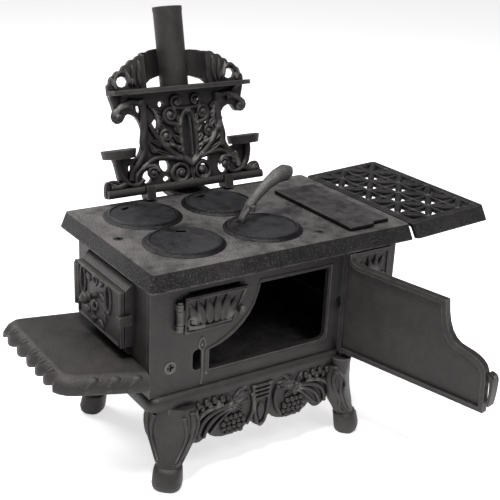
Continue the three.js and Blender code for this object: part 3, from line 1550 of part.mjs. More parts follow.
function highShelf() {
  const back = crownSetback + crownThickness;
  const front = highShelfHalfWidth * highShelfShares.front;
  const shape = new THREE.Shape();
  shape.moveTo(-front, -highShelfReach);
  shape.lineTo(front, -highShelfReach);
  shape.lineTo(highShelfHalfWidth, -highShelfReach * highShelfShares.corner);
  shape.lineTo(highShelfHalfWidth, back);
  shape.lineTo(nicheHalfWidth, back);
  shape.absellipse(0, back - crownThickness, nicheHalfWidth, nicheDepth, 0, Math.PI, false, 0);
  shape.lineTo(-nicheHalfWidth, back);
  shape.lineTo(-highShelfHalfWidth, back);
  shape.lineTo(-highShelfHalfWidth, -highShelfReach * highShelfShares.corner);
  return carriedAcross(lying(shape, panelHeight, highShelfThickness, 12));
}

// Crown: scalloped wings each side of a half-round niche, as shares of half width and height
const crownEdgeShares = [
  [1, 0], [0.965, 0.22], [0.895, 0.43], [0.79, 0.54], [0.7, 0.71], [0.59, 0.84], [0.465, 0.93],
  [0.28, 1.02], [0, 1.1],
];
const scallopShare = 0.045;
const crownHoleShares = { across: 0.79, up: 0.23, halfWidth: 0.085, halfHeight: 0.16 };
const archShares = { halfWidth: 0.82, height: 0.33, across: 0.12 };
const shelfTop = panelHeight + highShelfThickness;

function crownShape() {
  const at = ([x, z]) => new THREE.Vector2(highShelfHalfWidth * x, shelfTop + crownHeight * z);
  const path = new THREE.Path();
  path.moveTo(0, shelfTop - fit);
  path.lineTo(highShelfHalfWidth, shelfTop - fit);
  crownEdgeShares.map(at).forEach((point, i, all) => {
    if (i === 0) {
      path.lineTo(point.x, point.y);
      return;
    }
    const before = all[i - 1];
    const bulge = highShelfHalfWidth * scallopShare;
    const across = point.clone().sub(before).normalize();
    const middle = before.clone().add(point).divideScalar(2);
    path.quadraticCurveTo(middle.x + across.y * bulge, middle.y - across.x * bulge, point.x, point.y);
  });
  return mirrored(path, 3);
}

function crown() {
  const depth = crownSetback + nicheDepth + overrun;
  const silhouette = standing(crownShape(), crownSetback, depth);
  const wings = block(
    -highShelfHalfWidth, highShelfHalfWidth, crownSetback, crownSetback + crownThickness,
    shelfTop - fit, shelfTop + crownHeight * 2,
  );
  const niche = (inset) => {
    const shape = ellipse(0, crownSetback, nicheHalfWidth - inset, nicheDepth - inset);
    return lying(shape, shelfTop - fit - inset, crownHeight * 2 + inset * 2, 12);
  };
  const behind = block(
    -highShelfHalfWidth, highShelfHalfWidth, crownSetback, depth * 2,
    shelfTop - fit, shelfTop + crownHeight * 2,
  );
  const outer = niche(0).intersect(behind);
  const { across, up, halfWidth, halfHeight } = crownHoleShares;
  const holes = [-1, 1].map((side) =>
    standing(
      ellipse(
        side * highShelfHalfWidth * across, shelfTop + crownHeight * up,
        highShelfHalfWidth * halfWidth, crownHeight * halfHeight,
      ),
      crownSetback - overrun, crownThickness + overrun * 2, 4,
    ));
  const arch = standing(
    ellipse(
      nicheHalfWidth * archShares.across, shelfTop,
      nicheHalfWidth * archShares.halfWidth, crownHeight * archShares.height,
    ),
    crownSetback - overrun, depth * 2, 8,
  );
  const whole = join(wings, outer).intersect(silhouette);
  return carriedAcross(cut(whole, niche(nicheWall), arch, ...holes));
}

// Gussets under the upper shelf, one at each end
function gusset(side) {
  const x = side * highShelfHalfWidth * highShelfShares.front;
  const shape = new THREE.Shape();
  shape.moveTo(overrun, panelHeight + fit);
  shape.lineTo(-highShelfReach + overrun, panelHeight + fit);
  shape.quadraticCurveTo(0, panelHeight - highShelfReach / 3, 0, panelHeight - highShelfReach);
  shape.lineTo(overrun, panelHeight - highShelfReach);
  return endways(shape, x - panelThickness / 2, panelThickness, 4);
}

function footBlock(side) {
  const x = side * footAcross;
  return block(
    x - footHalfWidth, x + footHalfWidth, -footForward, panelThickness, 0,
    panelHeight * railShares[railShares.length - 1][0],
  );
}

function backsplash() {
  const panel = standing(panelShape(), 0, panelThickness);
  const parts = [-1, 1].flatMap((side) => [trivet(side), gusset(side), footBlock(side)]);
  const whole = join(panel, rail(), highShelf(), crown(), ...parts);
  const high = panelHeight + highShelfReach;
  const pipeWay = bar(pipeRadius + pipePlay, pipeOffset, pipeSetback, -overrun, high, 28);
  const toFrame = leanMatrix.clone().invert();
  const screwWays = [-1, 1].map((side) =>
    moved(
      screwHole(
        [backsplashX + side * footAcross, backsplashY - footScrewForward],
        topUnderside, cooktopHeight + fit + footScrewBite + fit,
      ),
      toFrame,
    ));
  const level = moved(
    block(-cooktopWidth, cooktopWidth, -cooktopDepth, cooktopDepth, 0, cooktopHeight + fit),
    toFrame,
  );
  return cut(whole, pipeWay, level, ...screwWays);
}

const leanFrame = frameAt(backsplashX, backsplashY, cooktopHeight + fit);
leanFrame.rotation.x = -backsplashLean;
place("backsplash", backsplash(), castIron, leanFrame);

// Stovepipe: a plain tube with a small bead at its mouth, cut level at the foot
const mouthShares = { bead: 1.03, beadHigh: 0.985, beadLow: 0.965 };

function stovepipe() {
  const { bead, beadHigh, beadLow } = mouthShares;
  const outer = pipeRadius;
  const inner = pipeRadius - pipeWall;
  const profile = [
    [inner, -pipeRadius], [outer, -pipeRadius], [outer, pipeLength * beadLow],
    [outer * bead, pipeLength * beadHigh], [outer * bead, pipeLength], [inner * bead, pipeLength],
    [inner, pipeLength * beadHigh], [inner, -pipeRadius],
  ].map(([r, z]) => new THREE.Vector2(r, z));
  const geometry = new THREE.LatheGeometry(profile, 28);
  geometry.rotateX(Math.PI / 2);
  geometry.translate(pipeOffset, pipeSetback, 0);
  const below = block(
    backsplashX - cooktopWidth, backsplashX + cooktopWidth, 0, cooktopDepth * 2,
    0, cooktopHeight + fit,
  );
  return cut(solid(geometry), moved(below, leanMatrix.clone().invert()));
}

place("stovepipe", stovepipe(), castIron, leanFrame);

// Fasteners: tie bolts with nuts behind the back plate, cooktop screws and backsplash screws
const recessShare = 0.55; // slot across each screw head, as a share of its radius
const recessWidthShare = 0.16;

function headRecess(radius, depth) {
  const half = radius * recessShare;
  const wide = radius * recessWidthShare;
  return join(
    block(-half, half, -wide, wide, -depth, overrun),
    block(-wide, wide, -half, half, -depth, overrun),
  );
}

for (const [sideName, [x, z]] of Object.entries(boltPlaces)) {
  const facing = new THREE.Matrix4()
    .makeTranslation(x, bodyFront - fit, z)
    .multiply(new THREE.Matrix4().makeRotationX(Math.PI / 2));
  const shank = barAlongY(boltRadius, x, z, bodyFront, bodyBack + fit + nutThickness, 14);
  const recess = moved(headRecess(boltHeadRadius, boltHeadHeight / 2), facing);
  const bolt = cut(join(boltHead(x, z, 0), shank), recess);
  place(`tie_bolt_${sideName}`, bolt, screwSteel);
  const nut = cut(
    barAlongY(nutRadius, x, z, bodyBack + fit, bodyBack + fit + nutThickness, 6),
    barAlongY(boltRadius + fit / 2, x, z, bodyBack, bodyBack + fit + nutThickness + overrun, 14),
  );
  place(`tie_nut_${sideName}`, nut, screwSteel);
}

for (const [sideName, [x, y]] of Object.entries(screwPlaces)) {
  const top = cooktopHeight;
  const head = bar(screwRadius, x, y, top - screwHeadHeight, top, 16, screwHeadRadius);
  const shank = bar(screwRadius, x, y, topUnderside - screwLength + fit * 2, top - screwHeadHeight / 2, 12);
  const recess = moved(
    headRecess(screwHeadRadius, screwHeadHeight / 2),
    new THREE.Matrix4().makeTranslation(x, y, top),
  );
  place(`cooktop_screw_${sideName}`, cut(join(head, shank), recess), screwSteel);
}

for (const [sideName, side] of [["left", -1], ["right", 1]]) {
  const x = backsplashX + side * footAcross;
  const y = backsplashY - footScrewForward;
  const under = topUnderside - fit;
  const crownRadius = footScrewHeadRadius * 0.8;
  const head = bar(crownRadius, x, y, under - screwHeadHeight, under, 16, footScrewHeadRadius);
  const shank = bar(screwRadius, x, y, under - fit, cooktopHeight + fit + footScrewBite, 12);
  const facing = new THREE.Matrix4()
    .makeTranslation(x, y, under - screwHeadHeight)
    .multiply(new THREE.Matrix4().makeRotationX(Math.PI));
  const recess = moved(headRecess(crownRadius, screwHeadHeight / 2), facing);
  place(`backsplash_screw_${sideName}`, cut(join(head, shank), recess), screwSteel);
}

// The whole stove stands on the floor with the middle of its outline over the origin
stove.updateMatrixWorld(true);
const outline = new THREE.Box3().setFromObject(stove, true);
const middle = outline.getCenter(new THREE.Vector3());
stove.children.forEach((child) => {
  child.position.x -= middle.x;
  child.position.y -= middle.y;
  child.position.z -= outline.min.z;
});
stove.updateMatrixWorld(true);

export default stove;
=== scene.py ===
# %% [markdown]
# # Dressing a cast iron toy stove
# The solid model already holds every casting of the stove: the base, the legs, the plates, the
# cooktop, the doors, the shelves and the openwork back. This lesson gives those castings their
# softened edges, their sand-cast iron and the raised leaves, grapes and scrolls that the
# foundry's pattern left on them, and then lights the stove on a pale floor.

# %% Load the frame
import json
import math

import bmesh
import bpy
from mathutils import Matrix, Vector
from mathutils.bvhtree import BVHTree

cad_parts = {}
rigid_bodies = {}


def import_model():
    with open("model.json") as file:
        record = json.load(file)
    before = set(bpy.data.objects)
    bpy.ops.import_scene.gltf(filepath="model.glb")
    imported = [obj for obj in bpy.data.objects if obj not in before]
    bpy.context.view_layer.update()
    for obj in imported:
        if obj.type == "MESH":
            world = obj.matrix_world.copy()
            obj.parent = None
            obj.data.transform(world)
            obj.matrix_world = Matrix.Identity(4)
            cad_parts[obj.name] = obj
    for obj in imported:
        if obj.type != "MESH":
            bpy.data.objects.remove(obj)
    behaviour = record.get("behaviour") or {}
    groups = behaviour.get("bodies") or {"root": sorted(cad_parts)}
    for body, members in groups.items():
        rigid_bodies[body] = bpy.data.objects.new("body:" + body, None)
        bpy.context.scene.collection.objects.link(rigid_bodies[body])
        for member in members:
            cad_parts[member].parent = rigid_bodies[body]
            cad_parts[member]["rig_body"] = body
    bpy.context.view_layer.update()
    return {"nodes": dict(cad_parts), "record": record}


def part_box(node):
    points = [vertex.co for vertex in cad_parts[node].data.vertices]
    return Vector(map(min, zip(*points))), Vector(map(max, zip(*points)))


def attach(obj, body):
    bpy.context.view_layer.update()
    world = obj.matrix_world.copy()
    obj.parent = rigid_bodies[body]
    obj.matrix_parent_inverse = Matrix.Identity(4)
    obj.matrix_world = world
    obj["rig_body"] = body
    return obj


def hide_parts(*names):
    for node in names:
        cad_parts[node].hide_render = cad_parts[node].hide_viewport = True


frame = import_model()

nodes = frame["nodes"]
print("castings:", len(nodes))

# %% [markdown]
# ## Places
# The castings are drawn in millimetres round the middle of the cooktop, with the floor at zero.
# The cooktop's own box tells where that middle lies in the loaded model, so every ornament can
# be placed with the same numbers as the castings.

# %% Millimetres round the middle of the cooktop
mm = 0.001
rim_depth = 66.5  # from the cooktop's middle to the front of its rim
cooktop_low, cooktop_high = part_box("cooktop")
middle = Vector(((cooktop_low.x + cooktop_high.x) / 2, cooktop_low.y + rim_depth * mm, 0))


def spot(x, y, z):
    """A point of the stove's own layout, given in millimetres."""
    return middle + Vector((x, y, z)) * mm


def face_frame(origin, right, up):
    """Matrix of a flat face: X to the right, Y up, Z out of the casting, all in millimetres."""
    right, up = Vector(right).normalized(), Vector(up).normalized()
    out = right.cross(up)
    turn = Matrix((right, up, out)).transposed().to_4x4()
    return Matrix.Translation(spot(*origin)) @ turn @ Matrix.Scale(mm, 4)


print("middle of the cooktop:", [round(v, 4) for v in middle])

# %% [markdown]
# ## Cast iron
# The stove is bare iron, cast in damp sand and blackened. Up close it has a fine grain, a few
# pits, bare metal on its edges and no real gloss. Its colour also carries painted light and shade:
# upward faces are lighter, partly as scouring and partly as painted light from above; edges are
# lighter, partly as bare metal and partly as a painted highlight; and hollows are darkened by
# painted shade. One shader node group makes all of these, and each finish uses it with its own
# colours and its own grain. The group starts with its named inputs and outputs.

# %% Sockets of the shader group
group_inputs = {
    "Dark": (0.02, 0.02, 0.02, 1),
    "Light": (0.06, 0.06, 0.06, 1),
    "Rubbed_and_highlight": (0.1, 0.1, 0.1, 1),
    "Top": (0.08, 0.08, 0.08, 1),
    "Wear_and_highlight": 0.5,
    "Scoured_and_lit": 0.0,
    "Speckle": 0.2,
    "Grain": 900.0,
    "Pitting": 0.4,
    "Matt": 0.7,
}
sand_cast = bpy.data.node_groups.new("sand_cast_surface", "ShaderNodeTree")
for name, default in group_inputs.items():
    kind = "NodeSocketColor" if isinstance(default, tuple) else "NodeSocketFloat"
    socket = sand_cast.interface.new_socket(name=name, in_out="INPUT", socket_type=kind)
    socket.default_value = default
for name, kind in (("Color", "Color"), ("Roughness", "Float"), ("Height", "Float")):
    sand_cast.interface.new_socket(name=name, in_out="OUTPUT", socket_type=f"NodeSocket{kind}")
group_nodes, wire = sand_cast.nodes, sand_cast.links.new
given = group_nodes.new("NodeGroupInput").outputs
result = group_nodes.new("NodeGroupOutput").inputs
place = group_nodes.new("ShaderNodeTexCoord").outputs
print("inputs of the group:", ", ".join(group_inputs))

# %% [markdown]
# A few helpers keep the group readable. Each makes one node, feeds its sockets, and gives back
# the output that the next node needs. Hollows are felt by rays that leave the surface, and edges
# by rays that go into the casting and soon come out again.

# %% Helpers for numbers and textures
def feed(socket, value):
    """Puts a number or a colour on a socket, or wires an output to it."""
    if isinstance(value, (int, float, tuple)):
        socket.default_value = value
    else:
        wire(value, socket)


def noise(scale, detail, roughness):
    node = group_nodes.new("ShaderNodeTexNoise")
    feed(node.inputs["Vector"], place["Object"])
    feed(node.inputs["Scale"], scale)
    feed(node.inputs["Detail"], detail)
    feed(node.inputs["Roughness"], roughness)
    return node.outputs["Fac"]


def calc(operation, *values):
    node = group_nodes.new("ShaderNodeMath")
    node.operation = operation
    for socket, value in zip(node.inputs, values):
        feed(socket, value)
    return node.outputs[0]


# %% Helpers for masks and colours
def ramp(value, low, high):
    """A mask that rises from 0 where the value is low to 1 where it is high."""
    node = group_nodes.new("ShaderNodeMapRange")
    feed(node.inputs["Value"], value)
    feed(node.inputs["From Min"], low)
    feed(node.inputs["From Max"], high)
    return node.outputs["Result"]


def openness(reach, inside):
    """How free the rays run within a reach in millimetres, outside or inside the casting."""
    node = group_nodes.new("ShaderNodeAmbientOcclusion")
    node.samples = 6
    node.inside = inside
    node.only_local = inside
    feed(node.inputs["Distance"], reach * mm)
    return node.outputs["AO"]


def blend(amount, first, second):
    node = group_nodes.new("ShaderNodeMix")
    node.data_type = "RGBA"
    feed(node.inputs[0], amount)
    colours = [socket for socket in node.inputs if socket.type == "RGBA"]
    for socket, value in zip(colours, (first, second)):
        feed(socket, value)
    return next(socket for socket in node.outputs if socket.type == "RGBA")


# %% [markdown]
# The colour is built up in layers: patches of dark and light, then lighter upward faces, partly
# tops scoured by use and partly painted light from above, then bright grains, then lighter edges,
# partly rubbed metal and partly a painted highlight, and painted shade in the hollows over all of
# it. The grain and its pits also give the height that the bump reads.

# %% Where each mask starts and ends
patch_span, scour_and_light_span, smear_span, grain_span = (0.36, 0.64), (0.3, 0.58), (0.3, 0.55), (0.54, 0.7)
level_span = (0.9, 0.985)  # how nearly a face looks straight up
edge_span, shade_span = (0.7, 0.4), (0.8, 0.25)  # these masks rise as the openness falls
edge_reach, shade_reach = 1.6, 6
# Near black of the painted shade in the hollows, and how much of it covers them
shade_black, shade_strength = (0.002, 0.002, 0.002, 1), 0.85
blotch_scale, smear_scale, pit_scale = 26, 140, 640
smear_share = 0.45
pit_radius = 0.16
matt_range = 0.16

# %% Patches, tops lighter from scouring and painted light, and bright grains
blotch = noise(blotch_scale, 3, 0.6)
smear = noise(smear_scale, 4, 0.65)
grain = noise(given["Grain"], 2, 0.6)
tone = calc("MULTIPLY_ADD", smear, smear_share, calc("MULTIPLY", blotch, 1 - smear_share))
colour = blend(ramp(tone, *patch_span), given["Dark"], given["Light"])
facing = group_nodes.new("ShaderNodeSeparateXYZ")
feed(facing.inputs[0], place["Normal"])
# Painted top light: faces that look nearly straight up take the lighter top colour, partly as scouring by
# use and partly as light falling from above
top = calc("MULTIPLY", ramp(facing.outputs["Z"], *level_span), ramp(tone, *scour_and_light_span))
colour = blend(calc("MULTIPLY", top, given["Scoured_and_lit"]), colour, given["Top"])
bright = calc("MULTIPLY", ramp(grain, *grain_span), given["Speckle"])
colour = blend(bright, colour, given["Rubbed_and_highlight"])

# %% Lighter edges, partly rubbed and partly painted highlight, and painted shade in the hollows
# Lighter edges: where the casting is thin or convex the colour turns to the bright one, partly as rubbed
# bare metal and partly as a painted highlight
edge = ramp(openness(edge_reach, True), *edge_span)
worn_and_highlit = calc("MULTIPLY", edge, ramp(smear, *smear_span))
colour = blend(calc("MULTIPLY", worn_and_highlit, given["Wear_and_highlight"]), colour, given["Rubbed_and_highlight"])
# Painted shade: the colour sinks to near black in hollows and between parts, where shade falls
painted_shade = ramp(openness(shade_reach, False), *shade_span)
feed(result["Color"], blend(calc("MULTIPLY", painted_shade, shade_strength), colour, shade_black))

# %% Roughness and pits
least_matt = calc("SUBTRACT", given["Matt"], matt_range / 2)
feed(result["Roughness"], calc("MULTIPLY_ADD", smear, matt_range, least_matt))
pits = group_nodes.new("ShaderNodeTexVoronoi")
feed(pits.inputs["Vector"], place["Object"])
feed(pits.inputs["Scale"], pit_scale)
in_pit = calc("LESS_THAN", pits.outputs["Distance"], pit_radius)
feed(result["Height"], calc("SUBTRACT", grain, calc("MULTIPLY", in_pit, given["Pitting"])))
print("nodes in the group:", len(group_nodes))

# %% [markdown]
# ## Finishes
# The record names four metals: plain castings, the rough cooktop, the smooth lids and the steel
# of the fasteners. Four more finishes serve single pieces. A finish gives the group's inputs by
# name, colours as greys that a tint turns warm or cool, and the shader gets the rest.

# %% Values of each finish
warm, plain, cool = (1.13, 0.985, 0.95), (1.05, 0.99, 0.975), (0.99, 0.99, 1.06)
# In each finish, the top colour and the scoured share lighten upward faces, partly as scouring by use and
# partly as painted light from above, which leaves the sides and the lids' sloped rims darker; the rubbed
# colour and the wear share lighten edges, partly as bare metal and partly as a painted highlight
finishes = {
    "cast_iron": dict(
        dark=0.014, light=0.032, rubbed_and_highlight=0.13, top=0.05, wear_and_highlight=0.8, scoured_and_lit=0, speckle=0.1,
        grain=1300, pitting=0.25, matt=0.5, tint=warm, depth=0.35, metal=0.35,
    ),
    "rough_iron": dict(
        dark=0.005, light=0.026, rubbed_and_highlight=0.14, top=0.185, wear_and_highlight=0.75, scoured_and_lit=0.85, speckle=0.4,
        grain=900, pitting=0.6, matt=0.52, tint=plain, depth=1.0, metal=0.75,
    ),
    "smooth_iron": dict(
        dark=0.003, light=0.009, rubbed_and_highlight=0.1, top=0.088, wear_and_highlight=0.1, scoured_and_lit=0.88, speckle=0.12,
        grain=1000, pitting=0.25, matt=0.42, tint=cool, depth=0.45, metal=0.8,
    ),
    "shelf_iron": dict(
        dark=0.006, light=0.024, rubbed_and_highlight=0.13, top=0.07, wear_and_highlight=0.7, scoured_and_lit=0.5, speckle=0.3,
        grain=900, pitting=0.5, matt=0.5, tint=plain, depth=0.8, metal=0.75,
    ),
    "cover_iron": dict(
        dark=0.004, light=0.02, rubbed_and_highlight=0.12, top=0.15, wear_and_highlight=0.4, scoured_and_lit=0.85, speckle=0.15,
        grain=1000, pitting=0.4, matt=0.45, tint=plain, depth=0.5, metal=0.8,
    ),
    "handle_iron": dict(
        dark=0.05, light=0.11, rubbed_and_highlight=0.26, top=0.12, wear_and_highlight=0.6, scoured_and_lit=0.4, speckle=0.2,
        grain=1100, pitting=0.3, matt=0.42, tint=plain, depth=0.6, metal=0.4,
    ),
    "fastener_steel": dict(
        dark=0.02, light=0.05, rubbed_and_highlight=0.2, top=0.1, wear_and_highlight=0.4, scoured_and_lit=0, speckle=0.1,
        grain=900, pitting=0.1, matt=0.4, tint=plain, depth=0.2, metal=0.8,
    ),
}
finishes["even_iron"] = {**finishes["cast_iron"], "wear_and_highlight": 0.12}

# %% Materials
bump_height = 1.2 * mm


def iron(name, tint, depth, metal, **values):
    """A material whose group takes each value on the input of the same name."""
    material = bpy.data.materials.new(name)
    material.use_nodes = True
    tree, link = material.node_tree.nodes, material.node_tree.links.new
    shader = tree["Principled BSDF"]
    shader.inputs["Metallic"].default_value = metal
    surface = tree.new("ShaderNodeGroup")
    surface.node_tree = sand_cast
    for key, value in values.items():
        socket = surface.inputs[key.capitalize()]
        if socket.type == "RGBA":
            shade = plain if key == "rubbed_and_highlight" else tint
            value = (*(value * part for part in shade), 1)
        socket.default_value = value
    relief = tree.new("ShaderNodeBump")
    relief.inputs["Strength"].default_value = depth
    relief.inputs["Distance"].default_value = bump_height
    link(surface.outputs["Height"], relief.inputs["Height"])
    link(surface.outputs["Color"], shader.inputs["Base Color"])
    link(surface.outputs["Roughness"], shader.inputs["Roughness"])
    link(relief.outputs["Normal"], shader.inputs["Normal"])
    return material


materials = {name: iron(name, **values) for name, values in finishes.items()}
slots = {row["node"]: row["material_slot"] for row in frame["record"]["subparts"]}
print("finishes:", sorted(materials))

# %% [markdown]
# ## Softened castings
# The solids have knife-sharp edges and flat facets, because they were drawn for measuring. A
# real casting is rounded a little everywhere: sand can't hold a sharp corner. So each casting
# gets a copy with its loose triangles merged, its curved parts shaded smooth and its real
# corners left as creases, and a small Bevel where the outline is simple enough to take one.

# %% A smooth copy of a casting
crease = math.radians(38)
flat_enough = math.radians(1)
same_place = 0.002 * mm


def smooth_faces(bm, angle=crease):
    """Shades every face smooth, and keeps an edge sharp where its faces meet at a wider angle."""
    for face in bm.faces:
        face.smooth = True
    for edge in bm.edges:
        edge.smooth = len(edge.link_faces) == 2 and edge.calc_face_angle(0) < angle


def new_piece(name, bm, finish, body):
    """Closes a bmesh as an object at the origin that rides with one body of the stove."""
    mesh = bpy.data.meshes.new(name)
    bm.to_mesh(mesh)
    bm.free()
    piece = bpy.data.objects.new(name, mesh)
    bpy.context.scene.collection.objects.link(piece)
    mesh.materials.append(materials[finish])
    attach(piece, body)
    return piece


def soften(node, radius):
    """Replaces a casting with its merged and smoothed copy; a radius of 0 leaves its corners."""
    bm = bmesh.new()
    bm.from_mesh(nodes[node].data)
    bmesh.ops.remove_doubles(bm, verts=bm.verts, dist=same_place)
    bmesh.ops.dissolve_limit(
        bm, angle_limit=flat_enough, use_dissolve_boundaries=False,
        verts=bm.verts, edges=bm.edges, delimit=set(),
    )
    smooth_faces(bm)
    piece = new_piece(f"{node}_cast", bm, slots[node], nodes[node]["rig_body"])
    if radius:
        bevel = piece.modifiers.new("rounded corners", "BEVEL")
        bevel.width = radius * mm
        bevel.segments = 2
        bevel.limit_method = "ANGLE"
        bevel.angle_limit = crease
    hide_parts(node)


# %% Soften every casting
corner_radius = 0.4
sharp_nodes = {"backsplash", "side_shelf", "lid_lifter", "stovepipe"}
sharp_nodes |= {node for node in nodes if node.startswith("leg_")}
sharp_nodes |= {node for node in nodes if slots[node] == "fastener_steel"}
for node in nodes:
    soften(node, 0 if node in sharp_nodes else corner_radius)
print("softened:", len(nodes), "of them with sharp corners:", len(sharp_nodes))

# %% [markdown]
# ## Worn lids and lifter
# Use has rubbed the lids to a broad slope round their rims. The slope faces too far sideways to
# take the lighter colour of upward faces, so it shows as a dark ring, partly real shade and partly
# painted shade. So the vertices of the top that lie near the rim get a new share of the radius and
# sink a little. The lifter's guard is worn down to a small heel, so its two ends are drawn in to
# the grip.

# %% Worn rims of the lids
lid_radius = 27 * mm
top_skin = 1.2 * mm  # a vertex counts as part of the top when it lies this close under it
rim_steps = (  # from which share of the radius on, the new share, and the drop in millimetres
    (0.985, 1.0, 2.4), (0.95, 0.955, 1.5), (0.9, 0.875, 0), (0.86, 0.835, 0), (0.84, 0.815, 0.5),
)
inmost_share = rim_steps[-1][0]
for node in nodes:
    if not node.startswith("lid_") or node == "lid_lifter":
        continue
    low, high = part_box(node)
    centre = (low + high) / 2
    for vert in bpy.data.objects[f"{node}_cast"].data.vertices:
        out = Vector((vert.co.x - centre.x, vert.co.y - centre.y, 0))
        share = out.length / lid_radius
        if share < inmost_share or high.z - vert.co.z > top_skin:
            continue
        new_share, drop = next(step[1:] for step in rim_steps if share >= step[0])
        vert.co = centre + out.normalized() * new_share * lid_radius
        vert.co.z = high.z - drop * mm
print("steps on each rim:", len(rim_steps))

# %% Worn guard of the lid lifter
lifter = bpy.data.objects["lid_lifter_cast"].data.vertices
points = [vert.co.copy() for vert in lifter]
foot = min(points, key=lambda point: point.z)
grip = max(points, key=lambda point: point.z)
forward = Vector((grip.x - foot.x, grip.y - foot.y, 0)).normalized()
sideways = Vector((-forward.y, forward.x, 0))
heel = 4.6 * mm  # half of the width that is left of the guard
for vert in lifter:
    off = (vert.co - foot).dot(sideways)
    if abs(off) > heel:
        vert.co -= sideways * (off - math.copysign(heel, off))
print("half width of the heel:", heel)

# %% [markdown]
# ## Tools for raised ornament
# All of the ornament is built from four strokes that a pattern carver would know: a bead that
# follows a line, a leaf with a sunk middle vein, a round berry, and a scroll, which is a bead
# wound into a spiral with a berry at its eye. Each is made flat, in millimetres, on a face frame.
# Where a stroke has to look carved in the round, it stands proud of its panel.

# %% Lines through points
def along(points, steps=6):
    """Points on a smooth line through the given ones."""
    spots = [Vector(point) for point in points]
    spots = [spots[0] * 2 - spots[1], *spots, spots[-1] * 2 - spots[-2]]
    route = []
    for a, b, c, d in zip(spots, spots[1:], spots[2:], spots[3:]):
        for i in range(steps):
            t = i / steps
            route.append(
                (b * 2 + (c - a) * t + (a * 2 - b * 5 + c * 4 - d) * t**2
                 + (b * 3 - a - c * 3 + d) * t**3) / 2
            )
    return [*route, spots[-2]]


def lifted(points, height=0.0):
    return [Vector((x, y, height)) for x, y in points]


# %% Bead
def bead(bm, where, route, radius, taper=0.0):
    """A round bead along a route, extruded point by point; taper thins it towards its end."""
    spans = [b - a for a, b in zip(route, route[1:])]
    bends = [a.normalized() + b.normalized() for a, b in zip(spans, spans[1:])]
    headings = [spans[0], *bends, spans[-1]]

    def section(i):
        width = radius * (1 - taper * i / (len(route) - 1))
        turn = headings[i].to_track_quat("Z", "Y").to_matrix().to_4x4()
        return where @ Matrix.Translation(route[i]) @ turn @ Matrix.Scale(width, 4)

    ring = bmesh.ops.create_circle(bm, segments=8, radius=1, cap_ends=True, matrix=section(0))["verts"]
    edges = {edge for vert in ring for edge in vert.link_edges}
    for i in range(1, len(route)):
        made = bmesh.ops.extrude_edge_only(bm, edges=list(edges))["geom"]
        ring = [item for item in made if isinstance(item, bmesh.types.BMVert)]
        bmesh.ops.transform(bm, matrix=section(i) @ section(i - 1).inverted(), verts=ring)
        fresh = set(ring)
        made_edges = {item for item in made if isinstance(item, bmesh.types.BMEdge)}
        edges = {edge for edge in made_edges if set(edge.verts) <= fresh}
    bmesh.ops.contextual_create(bm, geom=list(edges))


# %% Berry
def berry(bm, where, x, y, radius, squash=0.7, rise=0.0, tall=1.0):
    """A small domed round; squash flattens it, tall stretches it, and rise lifts it."""
    shape = Matrix.Diagonal((radius, radius * tall, radius * squash, 1))
    shape = where @ Matrix.Translation((x, y, rise)) @ shape
    bmesh.ops.create_uvsphere(bm, u_segments=10, v_segments=7, radius=1, matrix=shape)


# %% Leaf
lobe_depth = 0.26  # how far the edge draws in between two lobes
vein_width = 0.3  # as a share of the leaf's half width


def leaf(bm, where, root, tip, width, rise=1.1, lobes=0, curl=0.0, vein=0.5):
    """A leaf from root to tip, with a sunk vein, scalloped lobes and a sideways curl."""
    root, tip = Vector(root), Vector(tip)
    run = tip - root
    length = run.length
    turn = Matrix.Rotation(math.atan2(run.y, run.x) - math.pi / 2, 4, "Z")
    verts = bmesh.ops.create_uvsphere(bm, u_segments=14, v_segments=12, radius=1)["verts"]
    for vert in verts:
        t = (vert.co.z + 1) / 2
        belt = max(math.sqrt(max(1 - vert.co.z**2, 0)), 1e-6)
        across, up = vert.co.x / belt, vert.co.y / belt
        scallop = 1 - lobe_depth * abs(math.sin(math.pi * lobes * t))
        spread = math.sin(math.pi * t**0.8) ** 0.8 * scallop if 0 < t < 1 else 0
        groove = 1 - vein * math.exp(-((across / vein_width) ** 2))
        depth = rise * up * (groove if up > 0 else 0.4) * min(1, spread * 1.6)
        vert.co = (across * spread * width / 2 + curl * length * t**2, t * length, depth)
    base = where @ Matrix.Translation((root.x, root.y, 0))
    bmesh.ops.transform(bm, matrix=base @ turn, verts=verts)


# %% Scroll
def scroll(bm, where, eye, radius, start, turns, thickness, hand=1):
    """A bead wound inwards from an angle in degrees, with a berry at its eye."""
    steps = max(8, int(14 * turns))
    route = []
    for i in range(steps + 1):
        t = i / steps
        angle = math.radians(start) + hand * 2 * math.pi * turns * t
        reach = radius * (1 - 0.72 * t)
        x, y = eye[0] + reach * math.cos(angle), eye[1] + reach * math.sin(angle)
        route.append(Vector((x, y, 0)))
    bead(bm, where, route, thickness, taper=0.35)
    berry(bm, where, *eye, thickness * 1.35, squash=0.9)


# %% Strokes that stand proud
proud = 0.9  # how far the middle of a stroke lies in front of the panel
bold = 1.25  # how much wider the strokes are cast than their plain width


def stroke(bm, where, width, *points, taper=0.25):
    bead(bm, where, lifted(along(points), proud), width * bold, taper=taper)


# %% Spiral stroke
def spiral(bm, where, eye, points, width, turns=1.3, hand=1):
    """A stroke that comes in along its points and then winds inwards round its eye."""
    eye, last = Vector(eye), Vector(points[-1])
    start = last - eye
    route = along(points)
    steps = int(12 * turns)
    for i in range(1, steps + 1):
        t = i / steps
        turned = Matrix.Rotation(hand * 2 * math.pi * turns * t, 2) @ start
        route.append(eye + turned * (1 - 0.7 * t))
    bead(bm, where, lifted(route, proud), width * bold, taper=0.35)
    berry(bm, where, *eye, width * bold * 1.3, squash=0.9, rise=proud)


